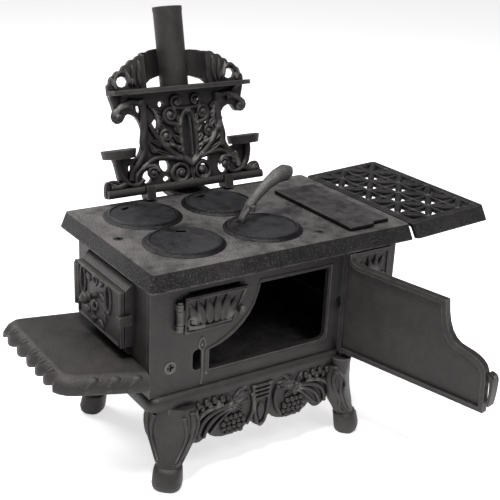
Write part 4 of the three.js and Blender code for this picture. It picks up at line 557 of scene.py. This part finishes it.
# %% Hand a relief over
def finish_relief(name, bm, body):
    """Points the faces outwards, smooths them and hands the relief over as one piece."""
    bmesh.ops.recalc_face_normals(bm, faces=bm.faces)
    smooth_faces(bm, math.radians(60))
    piece = new_piece(name, bm, "cast_iron", body)
    print(name, len(piece.data.polygons), "faces")


# %% [markdown]
# ## Grapes and leaves on the skirt
# The scalloped skirt under the moulding carries a keystone in its middle and, on either side of
# it, vine leaves, a row of berries with short leaves, hanging stems and a bunch of grapes that
# fills the big lobe. Both halves are the same, so the right half is drawn once and its face
# frame is turned over for the left.

# %% Grapes
grape = 2.15  # radius in millimetres


def bunch(bm, where, rows):
    """Grapes in staggered rows; a row gives its height and its first and last place."""
    for row, (y, first, last) in enumerate(rows):
        count = max(1, round((last - first) / (grape * 1.75)))
        for i in range(count + 1):
            x = first + (last - first) * i / count
            size = grape * (1.08 if (i + row) % 2 else 0.95)
            berry(bm, where, x, y, size, squash=0.95, rise=0.5)


# %% One half of the skirt
def skirt_half(bm, where):
    leaf(bm, where, (27, -5), (11, 0), 8.5, rise=2.3, lobes=3, curl=-0.05)
    leaf(bm, where, (26, -3), (15, 4), 5, rise=1.8, lobes=2)
    for tip, width in (
        ((13.5, -6), 4.2), ((17, -13.5), 5), ((25, -14.5), 4.6), ((33.5, -12.5), 4.4), ((31, 2.6), 4),
    ):
        leaf(bm, where, (27, -6), tip, width, rise=2.1)
    berry(bm, where, 27, -6, 2.3, squash=0.9, rise=0.9)
    for x, y, size in (
        (34.5, -0.6, 2.1), (37.6, -2.6, 1.8), (40.4, 0.2, 2.2), (43.8, -2.4, 1.9), (46.4, 0, 2.2),
        (49.6, -3.2, 2), (52.6, -0.8, 2.2), (55.6, -4.4, 2), (58.2, -2, 1.9),
    ):
        berry(bm, where, x, y, size, squash=0.9, rise=0.7, tall=1.2)
    for tip, width in (
        ((41, -6.4), 3.4), ((47.4, -7.2), 3.6), ((53.4, -9.4), 3.4), ((58.6, -10.6), 3.2),
    ):
        leaf(bm, where, (tip[0] - 6, tip[1] + 4.6), tip, width, rise=2.2, curl=0.12)
    for points, width in (
        ([(28, -6), (36, -7.5), (43, -9.8), (48.5, -14), (51.6, -20), (52, -25)], 1.5),
        ([(28, -8), (36, -11), (42, -15), (46, -20), (48, -25.6)], 1.4),
        ([(34, -4.5), (42, -5.6), (49, -8), (54, -13), (55.6, -19)], 1.4),
        ([(27, -9), (33, -14), (38, -18.6), (43, -24)], 1.1),
        ([(11.5, -2), (9.2, -10), (10.6, -18), (14.5, -25)], 1.3),
    ):
        stroke(bm, where, width, *points)
    bunch(bm, where, [(-16.2, 20, 31), (-19.8, 17.5, 33), (-23.4, 17, 32.5), (-26.8, 19.5, 30)])


# %% Keystone and both halves
def keystone(bm, where):
    for side in (-1, 1):
        edge = along([(side * 7.4, 3), (side * 6, -8), (side * 5, -17), (side * 3.2, -25.5), (0, -29)])
        bead(bm, where, lifted(edge, 0.6), 1.2)
    for row in range(4):
        half = 6.4 - row * 0.5
        y = 1.6 - row * 3.1
        bead(bm, where, lifted([(-half, y), (half, y)], 0.5), 1.1)
    leaf(bm, where, (0, -11), (0, -25.5), 6.5, rise=1.7, vein=0.3)


skirt_face = -59.8
bm = bmesh.new()
keystone(bm, face_frame((-15.2, skirt_face, 54), (1, 0, 0), (0, 0, 1)))
right_half = face_frame((-13.6, skirt_face, 54.2), (1, 0, 0), (0, 0, 1))
skirt_half(bm, right_half)
left_half = face_frame((-12.2, skirt_face, 54.2), (1, 0, 0), (0, 0, 1))
skirt_half(bm, left_half @ Matrix.Scale(-1, 4, (1, 0, 0)))
finish_relief("skirt_grapes", bm, "stove")

# %% [markdown]
# ## Leaf fans on the fire door and its fixed twin
# The small slanted door carries six broad leaves that rise side by side from the foot of its
# field, with a curled scroll at one side and a knob at the other. The fixed panel at the right
# shows a fan of four leaves from one root.

# %% Fan on the fire door
def frame_line(bm, where, corners, radius):
    """A bead round a closed field."""
    bead(bm, where, lifted([*corners, corners[0]], 0.1), radius)


fire_face = -59.3
bm = bmesh.new()
fire_frame = face_frame((0, fire_face, 0), (1, 0, 0), (0, 0, 1))
frame_line(bm, fire_frame, [(-74.8, 107.4), (-41.2, 107.4), (-31.6, 129.2), (-74.8, 129.2)], 1.1)
for foot_x, tip, width, curl in (
    (-66.5, (-71, 127), 7, -0.1), (-62.5, (-64.6, 128.4), 7.4, -0.14), (-58, (-57, 128.6), 7.6, -0.16),
    (-53.5, (-49.4, 128.6), 7.6, -0.16), (-49.5, (-42.2, 128), 7.4, -0.14), (-46, (-37, 124), 6.6, -0.1),
):
    leaf(bm, fire_frame, (foot_x, 110.2), tip, width, rise=2.5, curl=curl, vein=0.3)
stem = [(-73.5, 110.6), (-66, 109.6), (-56, 109.4), (-42, 110.4)]
bead(bm, fire_frame, lifted(stem, 0.5), 1.6, taper=0.3)
curl_in = [(-62, 110.4), (-66.6, 110.2), (-71.6, 111)]
spiral(bm, fire_frame, (-70.4, 114.6), curl_in, 1.0, turns=1.0, hand=-1)
leaf(bm, fire_frame, (-46, 111), (-37.6, 116.4), 4.6, rise=1.8)
knob_x, knob_y = -35.4, 117
bmesh.ops.create_cone(
    bm, cap_ends=True, segments=16, radius1=2.2, radius2=1.7, depth=4.5,
    matrix=fire_frame @ Matrix.Translation((knob_x, knob_y, 2)),
)
berry(bm, fire_frame, knob_x, knob_y, 2, squash=0.7, rise=4.2)
finish_relief("fire_door_fan", bm, "fire_door")

# %% Fan on the fixed panel
bm = bmesh.new()
twin_frame = face_frame((0, -56.9, 0), (1, 0, 0), (0, 0, 1))
for tip in ((65, 128), (71, 131), (78, 131.5), (84.5, 129.5)):
    leaf(bm, twin_frame, (75, 110.5), tip, 7, rise=1.9, vein=0.25)
scroll(bm, twin_frame, (84, 114), 3.6, 170, 1.5, 1.0, hand=-1)
leaf(bm, twin_frame, (72, 110.5), (63.5, 115), 4.6, rise=1.5)
finish_relief("end_panel_fan", bm, "stove")

# %% [markdown]
# ## Lines cast on the front plate
# A half-round bead frames the oven's opening, and a thin stalk with a drop at its top stands
# between the opening and the draught slot. Both are sunk a little, so that the oven door still
# shuts flat over them.

# %% Oven rim and stalk
front_frame = face_frame((0, -56.0, 0), (1, 0, 0), (0, 0, 1))
corner = along([(35, 73.2), (39, 74.4), (40.3, 79)], 4)
sweep = along(
    [(-18.2, 130.6), (-20, 122), (-25.6, 110.8), (-35.6, 101.4), (-46.6, 94.4), (-57.4, 90.4)]
)
outline = [Vector((-57.4, 73.2)), *corner, Vector((40.3, 130.6)), *sweep, Vector((-57.4, 73.2))]
bm = bmesh.new()
bead(bm, front_frame, lifted(outline, -0.5), 1.1)
drop_x = -60.4
stalk = along([(-61, 66.5), (-60.2, 71), (-60, 80), (drop_x, 91)])
bead(bm, front_frame, lifted(stalk, -0.25), 0.85)
for side in (-1, 1):
    drop = along([(drop_x, 90.5), (drop_x + side * 2.2, 94), (drop_x + side * 1.6, 97.8), (drop_x, 100)])
    bead(bm, front_frame, lifted(drop, -0.15), 0.75)
berry(bm, front_frame, drop_x, 94.8, 1.1, squash=0.5, tall=1.6)
finish_relief("front_plate_lines", bm, "stove")

# %% [markdown]
# ## Husks on the legs
# Each knee has a smooth dome that looks out over its corner, and a husk of long curved ribs down
# both flanks. The ribs are laid by casting rays from outside onto the leg, so they sit on it.

# %% Places on a leg
def surface_of(node):
    """The faces of a casting, ready to be hit by rays."""
    bm = bmesh.new()
    bm.from_mesh(nodes[node].data)
    tree = BVHTree.FromBMesh(bm)
    bm.free()
    return tree


knee_reach = 17 * mm
ray_start = 60 * mm


def laid_point(tree, knee, level, outward, share, z):
    """The place that a ray hits at a share of the knee's reach, or at the nearest smaller share."""
    for trim in (1, 0.94, 0.88, 0.82, 0.76):
        start = knee + level * (share * trim * knee_reach) + Vector((0, 0, z * mm))
        hit = tree.ray_cast(start + outward * ray_start, -outward)[0]
        if hit is not None:
            return hit
    return None


# %% Ribs and dome of each leg
leg_rows = (  # width of the rib, then its places as a share of the knee's reach and a height
    (2.1, [(1.0, 53), (1.04, 46), (0.98, 38), (0.8, 30), (0.62, 22), (0.5, 18)]),
    (1.8, [(0.8, 54), (0.86, 46), (0.82, 37), (0.66, 29), (0.48, 21), (0.36, 18)]),
    (1.5, [(0.56, 51), (0.66, 44), (0.66, 36), (0.52, 28), (0.34, 20)]),
)
knee_turn = math.radians(43)
knee_shift = Vector((2.2, 2.4, 0)) * mm  # from the middle of the leg's box in to the knee
dome_height = 49.5 * mm
dome_size = Vector((15.4, 9.4, 7.8)) * mm


def leg_ribs(side, end):
    name = f"leg_{'front' if end < 0 else 'back'}_{'left' if side < 0 else 'right'}"
    low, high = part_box(name)
    tree = surface_of(name)
    outward = Vector((side, end, 0)).normalized()
    level = Vector((-end, side, 0)).normalized()
    knee = Vector(((low.x + high.x) / 2, (low.y + high.y) / 2, 0))
    knee -= Vector((side, end, 0)) * knee_shift
    bm = bmesh.new()
    for hand in (-1, 1):
        for width, row in leg_rows:
            route = [laid_point(tree, knee, level, outward, hand * share, z) for share, z in row]
            route = [point for point in route if point is not None]
            if len(route) > 2:
                bead(bm, Matrix(), along(route, 5), width * mm, taper=0.5)
    dome = Matrix.Translation(knee + Vector((0, 0, dome_height)))
    dome = dome @ Matrix.Rotation(-side * end * knee_turn, 4, "Z") @ Matrix.Diagonal((*dome_size, 1))
    bmesh.ops.create_uvsphere(bm, u_segments=28, v_segments=14, radius=1, matrix=dome)
    finish_relief(f"{name}_husk", bm, "stove")


for side in (-1, 1):
    for end in (-1, 1):
        leg_ribs(side, end)

# %% [markdown]
# ## The openwork back
# The backsplash is a lace of scrolls: a pair of volutes at its foot, leaf sprays up each side of
# the long slot, a curl in each wing and a ribbed crown. Its face leans back, so the ornament is
# drawn on a leaning face frame. One half is drawn and turned over for the other; the right half
# is a little narrower, because the slot stands right of the middle.

# %% Backsplash frame
lean = math.radians(13)
back_foot = (-4.4, 61.4, 152.3)
back_frame = face_frame(back_foot, (1, 0, 0), (0, math.sin(lean), math.cos(lean)))
print("backsplash leans", round(math.degrees(lean)), "degrees")

# %% Middle of the back
def back_half(bm, where):
    """Half of the volutes, of the line round the slot and of the leaf sprays beside it."""
    volute = [(0.6, 9), (7.6, 8), (14.8, 10.6), (17, 15.6), (14.4, 20.2)]
    spiral(bm, where, (9.2, 14.8), volute, 1.9)
    stroke(bm, where, 2.2, (0, 20.6), (8.8, 26.2), (17.9, 32.8), (24.6, 40.8), (29, 47.6), (31.5, 52.6))
    slot_side = [(0.4, 22), (5.4, 27.6), (6.4, 38), (6.2, 51), (3.6, 57.6), (0, 59.8)]
    stroke(bm, where, 1.6, *slot_side, taper=0)
    stroke(bm, where, 1.8, (9, 26), (20, 27.4), (30, 27.6), (39, 22.9), (45, 17.4), (46, 12))
    leaf(bm, where, (13, 27.6), (33, 33.4), 4.4, rise=2.6, curl=-0.1)
    leaf(bm, where, (23, 36), (31.5, 42.5), 4.4, rise=2.4, curl=0.12)
    spiral(bm, where, (18.6, 43), [(9.4, 33), (14, 35.4), (20.4, 37.4), (23.4, 42)], 1.7, turns=1.2)
    spiral(bm, where, (14, 57.6), [(7, 49.6), (11, 50.4), (16.4, 52)], 1.8, turns=1.4)
    spiral(bm, where, (8, 66.6), [(0, 61), (4.6, 61.6), (10.6, 62.4), (12.8, 66.4)], 1.5, turns=1.0)
    for root, tip, width in (
        ((6.6, 44), (12.8, 49.4), 6.4), ((6.8, 37), (13.2, 42), 6.4), ((6.4, 30.4), (12, 34.6), 6),
        ((13.4, 35.4), (17, 40), 4.6), ((19.6, 46.6), (25.6, 52.4), 5.6), ((20.6, 53), (27.4, 58.4), 5.4),
        ((6.6, 51), (9.4, 57.4), 4.6), ((21, 60), (29, 63.4), 5), ((28.6, 31), (33.4, 38), 4.6),
    ):
        leaf(bm, where, root, tip, width, rise=2.8, curl=-0.1)
    stroke(bm, where, 1.4, (26, 46), (24.4, 54), (26.4, 61), (31, 66))
    lower_curl = [(40.4, 23), (36, 23.4), (30, 22.6), (27.2, 18.4)]
    spiral(bm, where, (32, 17.8), lower_curl, 1.6, turns=1.1, hand=-1)


# %% Edge of the back
def back_edge(bm, where):
    """One wavy side of the panel with its wing, its bracket and its foot."""
    side_line = [(36.4, 70), (35.6, 60), (36, 50), (38, 40.6), (38, 34), (42.4, 27), (48.6, 21), (50, 15)]
    stroke(bm, where, 2.5, *side_line)
    stroke(bm, where, 2.1, (38, 68), (46, 69.4), (53, 66), (58, 60))
    spiral(bm, where, (55.4, 59.4), [(44, 66), (50, 66.6), (56.6, 63.6)], 1.9, turns=0.9, hand=-1)
    stroke(bm, where, 2.4, (58.6, 33.4), (58.8, 26), (57, 18.6), (54.6, 13.6), (60, 11), (66, 11.4))
    leaf(bm, where, (58.6, 11.6), (67, 17), 5.4, rise=2.4, curl=0.1)
    leaf(bm, where, (45, 17), (50.4, 27), 4.6, rise=2.2, curl=-0.1)
    stroke(bm, where, 1.5, (40, 14.4), (44.6, 11), (50, 11.6), (54, 14))


# %% Both halves of the back
bm = bmesh.new()
middle_frame = back_frame @ Matrix.Translation((5, 0, 0))
edge_shift = Matrix.Translation((-5.2, 0, 0))
for side, stretch in ((1, 0.88), (-1, 1)):
    back_half(bm, middle_frame @ Matrix.Scale(side * stretch, 4, (1, 0, 0)))
    back_edge(bm, back_frame @ Matrix.Scale(side, 4, (1, 0, 0)) @ edge_shift)
leaf(bm, middle_frame, (0, 21), (0, 8.4), 4.4, rise=2.8)
finish_relief("backsplash_scrolls", bm, "stove")

# %% Crown ribs
crown_frame = back_frame @ Matrix.Translation((3.4, 0, -6))
bm = bmesh.new()
for side in (1, -1):
    where = crown_frame @ Matrix.Scale(side, 4, (1, 0, 0))
    for root, tip, width in (
        ((31, 78), (30.4, 98), 4.4), ((34.6, 78.6), (36, 95), 4.4), ((37.4, 79), (41.6, 92.6), 4),
        ((49.4, 79), (52.6, 87), 4.2), ((38, 80), (36.4, 86), 3.4),
    ):
        leaf(bm, where, root, tip, width, rise=2.1, vein=0.35)
    stroke(bm, where, 1.3, (38.6, 82.4), (40.6, 88.4), (46, 89.8), (50.4, 84.6), (50, 79))
finish_relief("crown_ribs", bm, "stove")

# %% [markdown]
# ## The ends: firebox door, side shelf and hearth
# The firebox door has petals round its knob and a bead round each draught opening. The side
# shelf is a trellis of pointed leaves between its openings. The hearth's drooping rim has two
# soft folds on each lobe of its outer side and three slanted ones on each short side.

# %% Firebox door
def oval(x, y, wide, tall, sides=20):
    """A closed ring of points; wide and tall are its half sizes."""
    turns = [2 * math.pi * i / sides for i in range(sides + 1)]
    return [(x + wide * math.cos(turn), y + tall * math.sin(turn)) for turn in turns]


bm = bmesh.new()
door_frame = face_frame((-107.4, 0, 0), (0, -1, 0), (0, 0, 1))
for x in (-17.8, 18.9):
    bead(bm, door_frame, lifted(oval(x, 120.4, 3.8, 10), 0.1), 1.1)
for y in (109.2, 126.7):
    bead(bm, door_frame, lifted(oval(0.2, y, 3, 3, 14), 0.1), 0.9)
for root, tip, width in (
    ((-4.5, 107.5), (-0.5, 103), 4.4), ((6, 119), (14, 117.5), 5), ((11, 109), (16, 102), 5),
    ((6, 101.5), (13, 98.2), 3.8), ((2, 101), (-6, 98.4), 3.8), ((-8, 101), (-15, 104), 4.4),
    ((-6, 124), (-12, 128), 4.4), ((-7, 113), (-12.6, 108), 4.2), ((7, 126), (12.6, 129), 4.2),
):
    leaf(bm, door_frame, root, tip, width, rise=1.6, vein=0.2)
frame_line(bm, door_frame, [(-24.6, 95.2), (35, 95.2), (35, 130.8), (-24.6, 130.8)], 1.1)
berry(bm, door_frame, 0.2, 116, 4.1, squash=0.8, rise=7.6)
finish_relief("firebox_door_petals", bm, "firebox_door")

# %% Leaves of the side shelf
shelf_tilt = math.radians(3)
shelf_wide, shelf_long, shelf_border = 68.5, 123, 5
columns, rows = 4, 7
shelf_right = (math.cos(shelf_tilt), 0, math.sin(shelf_tilt))
shelf_frame = face_frame((101.5, -3, 152), shelf_right, (0, 1, 0))
lattice_low = Vector((shelf_border, shelf_border - shelf_long / 2))
lattice_high = Vector((shelf_wide - shelf_border, shelf_long / 2 - shelf_border))
square = Vector(((lattice_high.x - lattice_low.x) / columns, (lattice_high.y - lattice_low.y) / rows))
bm = bmesh.new()
for i in range(columns):
    for k in range(rows):
        slant = 1 if (i + k) % 2 else -1
        half = Vector((square.x, square.y * slant)) * 0.49
        centre = lattice_low + Vector((square.x * (i + 0.5), square.y * (k + 0.5)))
        leaf(bm, shelf_frame, centre - half, centre + half, 5.6, rise=1.7, vein=-0.1)
for i in range(columns + 1):
    x = lattice_low.x + square.x * i
    bead(bm, shelf_frame, lifted([(x, lattice_low.y), (x, lattice_high.y)], -0.5), 1.0)
for k in range(rows + 1):
    y = lattice_low.y + square.y * k
    bead(bm, shelf_frame, lifted([(lattice_low.x, y), (lattice_high.x, y)], -0.5), 1.0)
finish_relief("side_shelf_leaves", bm, "side_shelf")

# %% A fold laid on a casting
fold_sunk = 1.4  # how deep the middle of a fold lies under the surface, in millimetres
fold_stretch = 1.05


def fold(bm, tree, start, end, toward, width, rise):
    """A soft leaf laid on a casting between the places that two rays from outside hit."""
    (a, up_a), (b, up_b) = (tree.ray_cast(point, toward)[:2] for point in (start, end))
    if a is None or b is None:
        return
    along_rim = (b - a).normalized()
    across = along_rim.cross((up_a + up_b).normalized()).normalized()
    out = across.cross(along_rim)
    where = Matrix((across, along_rim, out)).transposed().to_4x4()
    where = Matrix.Translation(a - out * fold_sunk * mm) @ where @ Matrix.Scale(mm, 4)
    length = (b - a).length / mm * fold_stretch
    leaf(bm, where, (0, 0), (0, length), width, rise=rise, vein=-0.3)


# %% Folds on the hearth's rim
hearth = surface_of("hearth_plate")
hearth_low, hearth_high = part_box("hearth_plate")
lobe_middle, front_pitch, back_pitch = -5, 13.05, 16.2  # places of the five lobes
side_pitch = 13.5
hearth_slope = math.tan(math.radians(6.5))
hearth_start, hearth_height = -98, 84.5  # where the flat starts, and how high it lies there
downwards = Vector((0, 0, -1))
bm = bmesh.new()
for i in range(-2, 3):
    y = middle.y + (lobe_middle + i * (front_pitch if i < 0 else back_pitch)) * mm
    for lean_y, width in ((0, 5.4), (4.4, 3.6)):
        start = Vector((hearth_low.x + 7.6 * mm, y + (lean_y - 3.4) * mm, 1))
        end = Vector((hearth_low.x + 1.6 * mm, y + (lean_y * 0.5 + 1.4) * mm, 1))
        fold(bm, hearth, start, end, downwards, width, 2.1)
for side, edge in ((-1, hearth_low.y), (1, hearth_high.y)):
    toward = Vector((0, -side, 0))
    for i in range(3):
        x = hearth_start - 4 - i * side_pitch
        flat = hearth_height + (hearth_start - x) * hearth_slope
        start, end = spot(x, 0, flat - 2.2), spot(x - 13, 0, flat - 8.6)
        start.y = end.y = edge + side * ray_start
        fold(bm, hearth, start, end, toward, 10, 2.3)
finish_relief("hearth_folds", bm, "hearth_plate")

# %% [markdown]
# ## Castings with a finish of their own
# Some pieces look unlike the others of their metal. The lifter's grip is polished by the hand
# that holds it, the shelf is darker, the cover greyer, and the hearth's folds get little of the
# lighter edges, rubbed metal and painted highlight alike.

# %% Finishes that differ
own_finishes = {
    "lid_lifter_cast": "handle_iron",
    "side_shelf_cast": "shelf_iron",
    "side_shelf_leaves": "shelf_iron",
    "reservoir_cover_cast": "cover_iron",
    "hearth_folds": "even_iron",
}
for name, finish in own_finishes.items():
    bpy.data.objects[name].data.materials[0] = materials[finish]
print("own finishes:", sorted(own_finishes))

# %% [markdown]
# ## Floor, light and camera
# The stove stands on a pale floor in front of a white ground. A soft key lamp above, a weak one
# in front and another behind give the even look of a catalogue picture. The floor glows a
# little, so that it reads as white, and keeps a faint shadow.

# %% Material of the floor
floor_grey, floor_glow = 0.88, 0.65


def white_ground(name):
    """A pale matt floor that glows a little where the camera or a reflection sees it."""
    material = bpy.data.materials.new(name)
    material.use_nodes = True
    tree, link = material.node_tree.nodes, material.node_tree.links.new
    matt = tree["Principled BSDF"]
    matt.inputs["Base Color"].default_value = (floor_grey, floor_grey, floor_grey, 1)
    matt.inputs["Roughness"].default_value = 0.9
    glow = tree.new("ShaderNodeEmission")
    glow.inputs["Strength"].default_value = floor_glow
    both = tree.new("ShaderNodeAddShader")
    rays = tree.new("ShaderNodeLightPath")
    seen = tree.new("ShaderNodeMath")
    seen.operation = "MAXIMUM"
    link(rays.outputs["Is Camera Ray"], seen.inputs[0])
    link(rays.outputs["Is Glossy Ray"], seen.inputs[1])
    choose = tree.new("ShaderNodeMixShader")
    link(seen.outputs[0], choose.inputs[0])
    link(matt.outputs[0], choose.inputs[1])
    link(matt.outputs[0], both.inputs[0])
    link(glow.outputs[0], both.inputs[1])
    link(both.outputs[0], choose.inputs[2])
    link(choose.outputs[0], tree["Material Output"].inputs["Surface"])
    return material


# %% Floor
bm = bmesh.new()
bmesh.ops.create_grid(bm, x_segments=1, y_segments=1, size=9)
floor_mesh = bpy.data.meshes.new("floor")
bm.to_mesh(floor_mesh)
bm.free()
floor = bpy.data.objects.new("floor", floor_mesh)
floor_mesh.materials.append(white_ground("white_floor"))
bpy.context.scene.collection.objects.link(floor)

# %% White room
sky_strength = 0.2
world = bpy.data.worlds.new("white_room")
bpy.context.scene.world = world
world.use_nodes = True
tree, link = world.node_tree.nodes, world.node_tree.links.new
sky = tree["Background"]
sky.inputs["Color"].default_value = (1, 1, 1, 1)
sky.inputs["Strength"].default_value = sky_strength
backdrop = tree.new("ShaderNodeBackground")
backdrop.inputs["Color"].default_value = (1, 1, 1, 1)
backdrop.inputs["Strength"].default_value = 1.0
rays = tree.new("ShaderNodeLightPath")
choose = tree.new("ShaderNodeMixShader")
link(rays.outputs["Is Camera Ray"], choose.inputs[0])
link(sky.outputs[0], choose.inputs[1])
link(backdrop.outputs[0], choose.inputs[2])
link(choose.outputs[0], tree["World Output"].inputs["Surface"])


# %% Lamps
def lamp(name, where, target, size, power):
    data = bpy.data.lights.new(name, "AREA")
    data.shape = "SQUARE"
    data.size = size
    data.energy = power
    item = bpy.data.objects.new(name, data)
    item.location = where
    item.rotation_euler = (Vector(target) - Vector(where)).to_track_quat("-Z", "Y").to_euler()
    bpy.context.scene.collection.objects.link(item)


lamp("key_lamp", (-0.4, -0.25, 1.4), (0, 0, 0.12), 0.4, 24)
lamp("front_lamp", (0.25, -0.95, 1.25), (0, 0, 0.12), 0.5, 5)
lamp("back_lamp", (-0.4, 0.95, 0.9), (0, 0, 0.15), 0.5, 8)

# %% [markdown]
# The camera was fitted to the straight edges of the photographed stove. It looks down from the
# front left, with a slight roll.

# %% Camera
frame_pixels, focal_pixels, sensor = 500, 984.32, 36
bearing, pitch, roll = math.radians(34.466), math.radians(21.387), math.radians(2.792)
flat_ahead = Vector((math.sin(bearing), math.cos(bearing), 0))
ahead = flat_ahead * math.cos(pitch) - Vector((0, 0, math.sin(pitch)))
level = ahead.cross(Vector((0, 0, 1))).normalized()
upward = level.cross(ahead)
right = level * math.cos(roll) + upward * math.sin(roll)
top = upward * math.cos(roll) - level * math.sin(roll)
camera_data = bpy.data.cameras.new("camera")
camera_data.sensor_width = sensor
camera_data.lens = sensor * focal_pixels / frame_pixels
camera_data.clip_start, camera_data.clip_end = 0.01, 20
camera = bpy.data.objects.new("camera", camera_data)
bpy.context.scene.collection.objects.link(camera)
turn = Matrix((right, top, -ahead)).transposed().to_4x4()
camera.matrix_world = Matrix.Translation(spot(-352.81, -530.07, 377.95)) @ turn
bpy.context.scene.camera = camera
bpy.context.scene.view_settings.view_transform = "Standard"
print("camera at", [round(v, 3) for v in camera.matrix_world.translation])
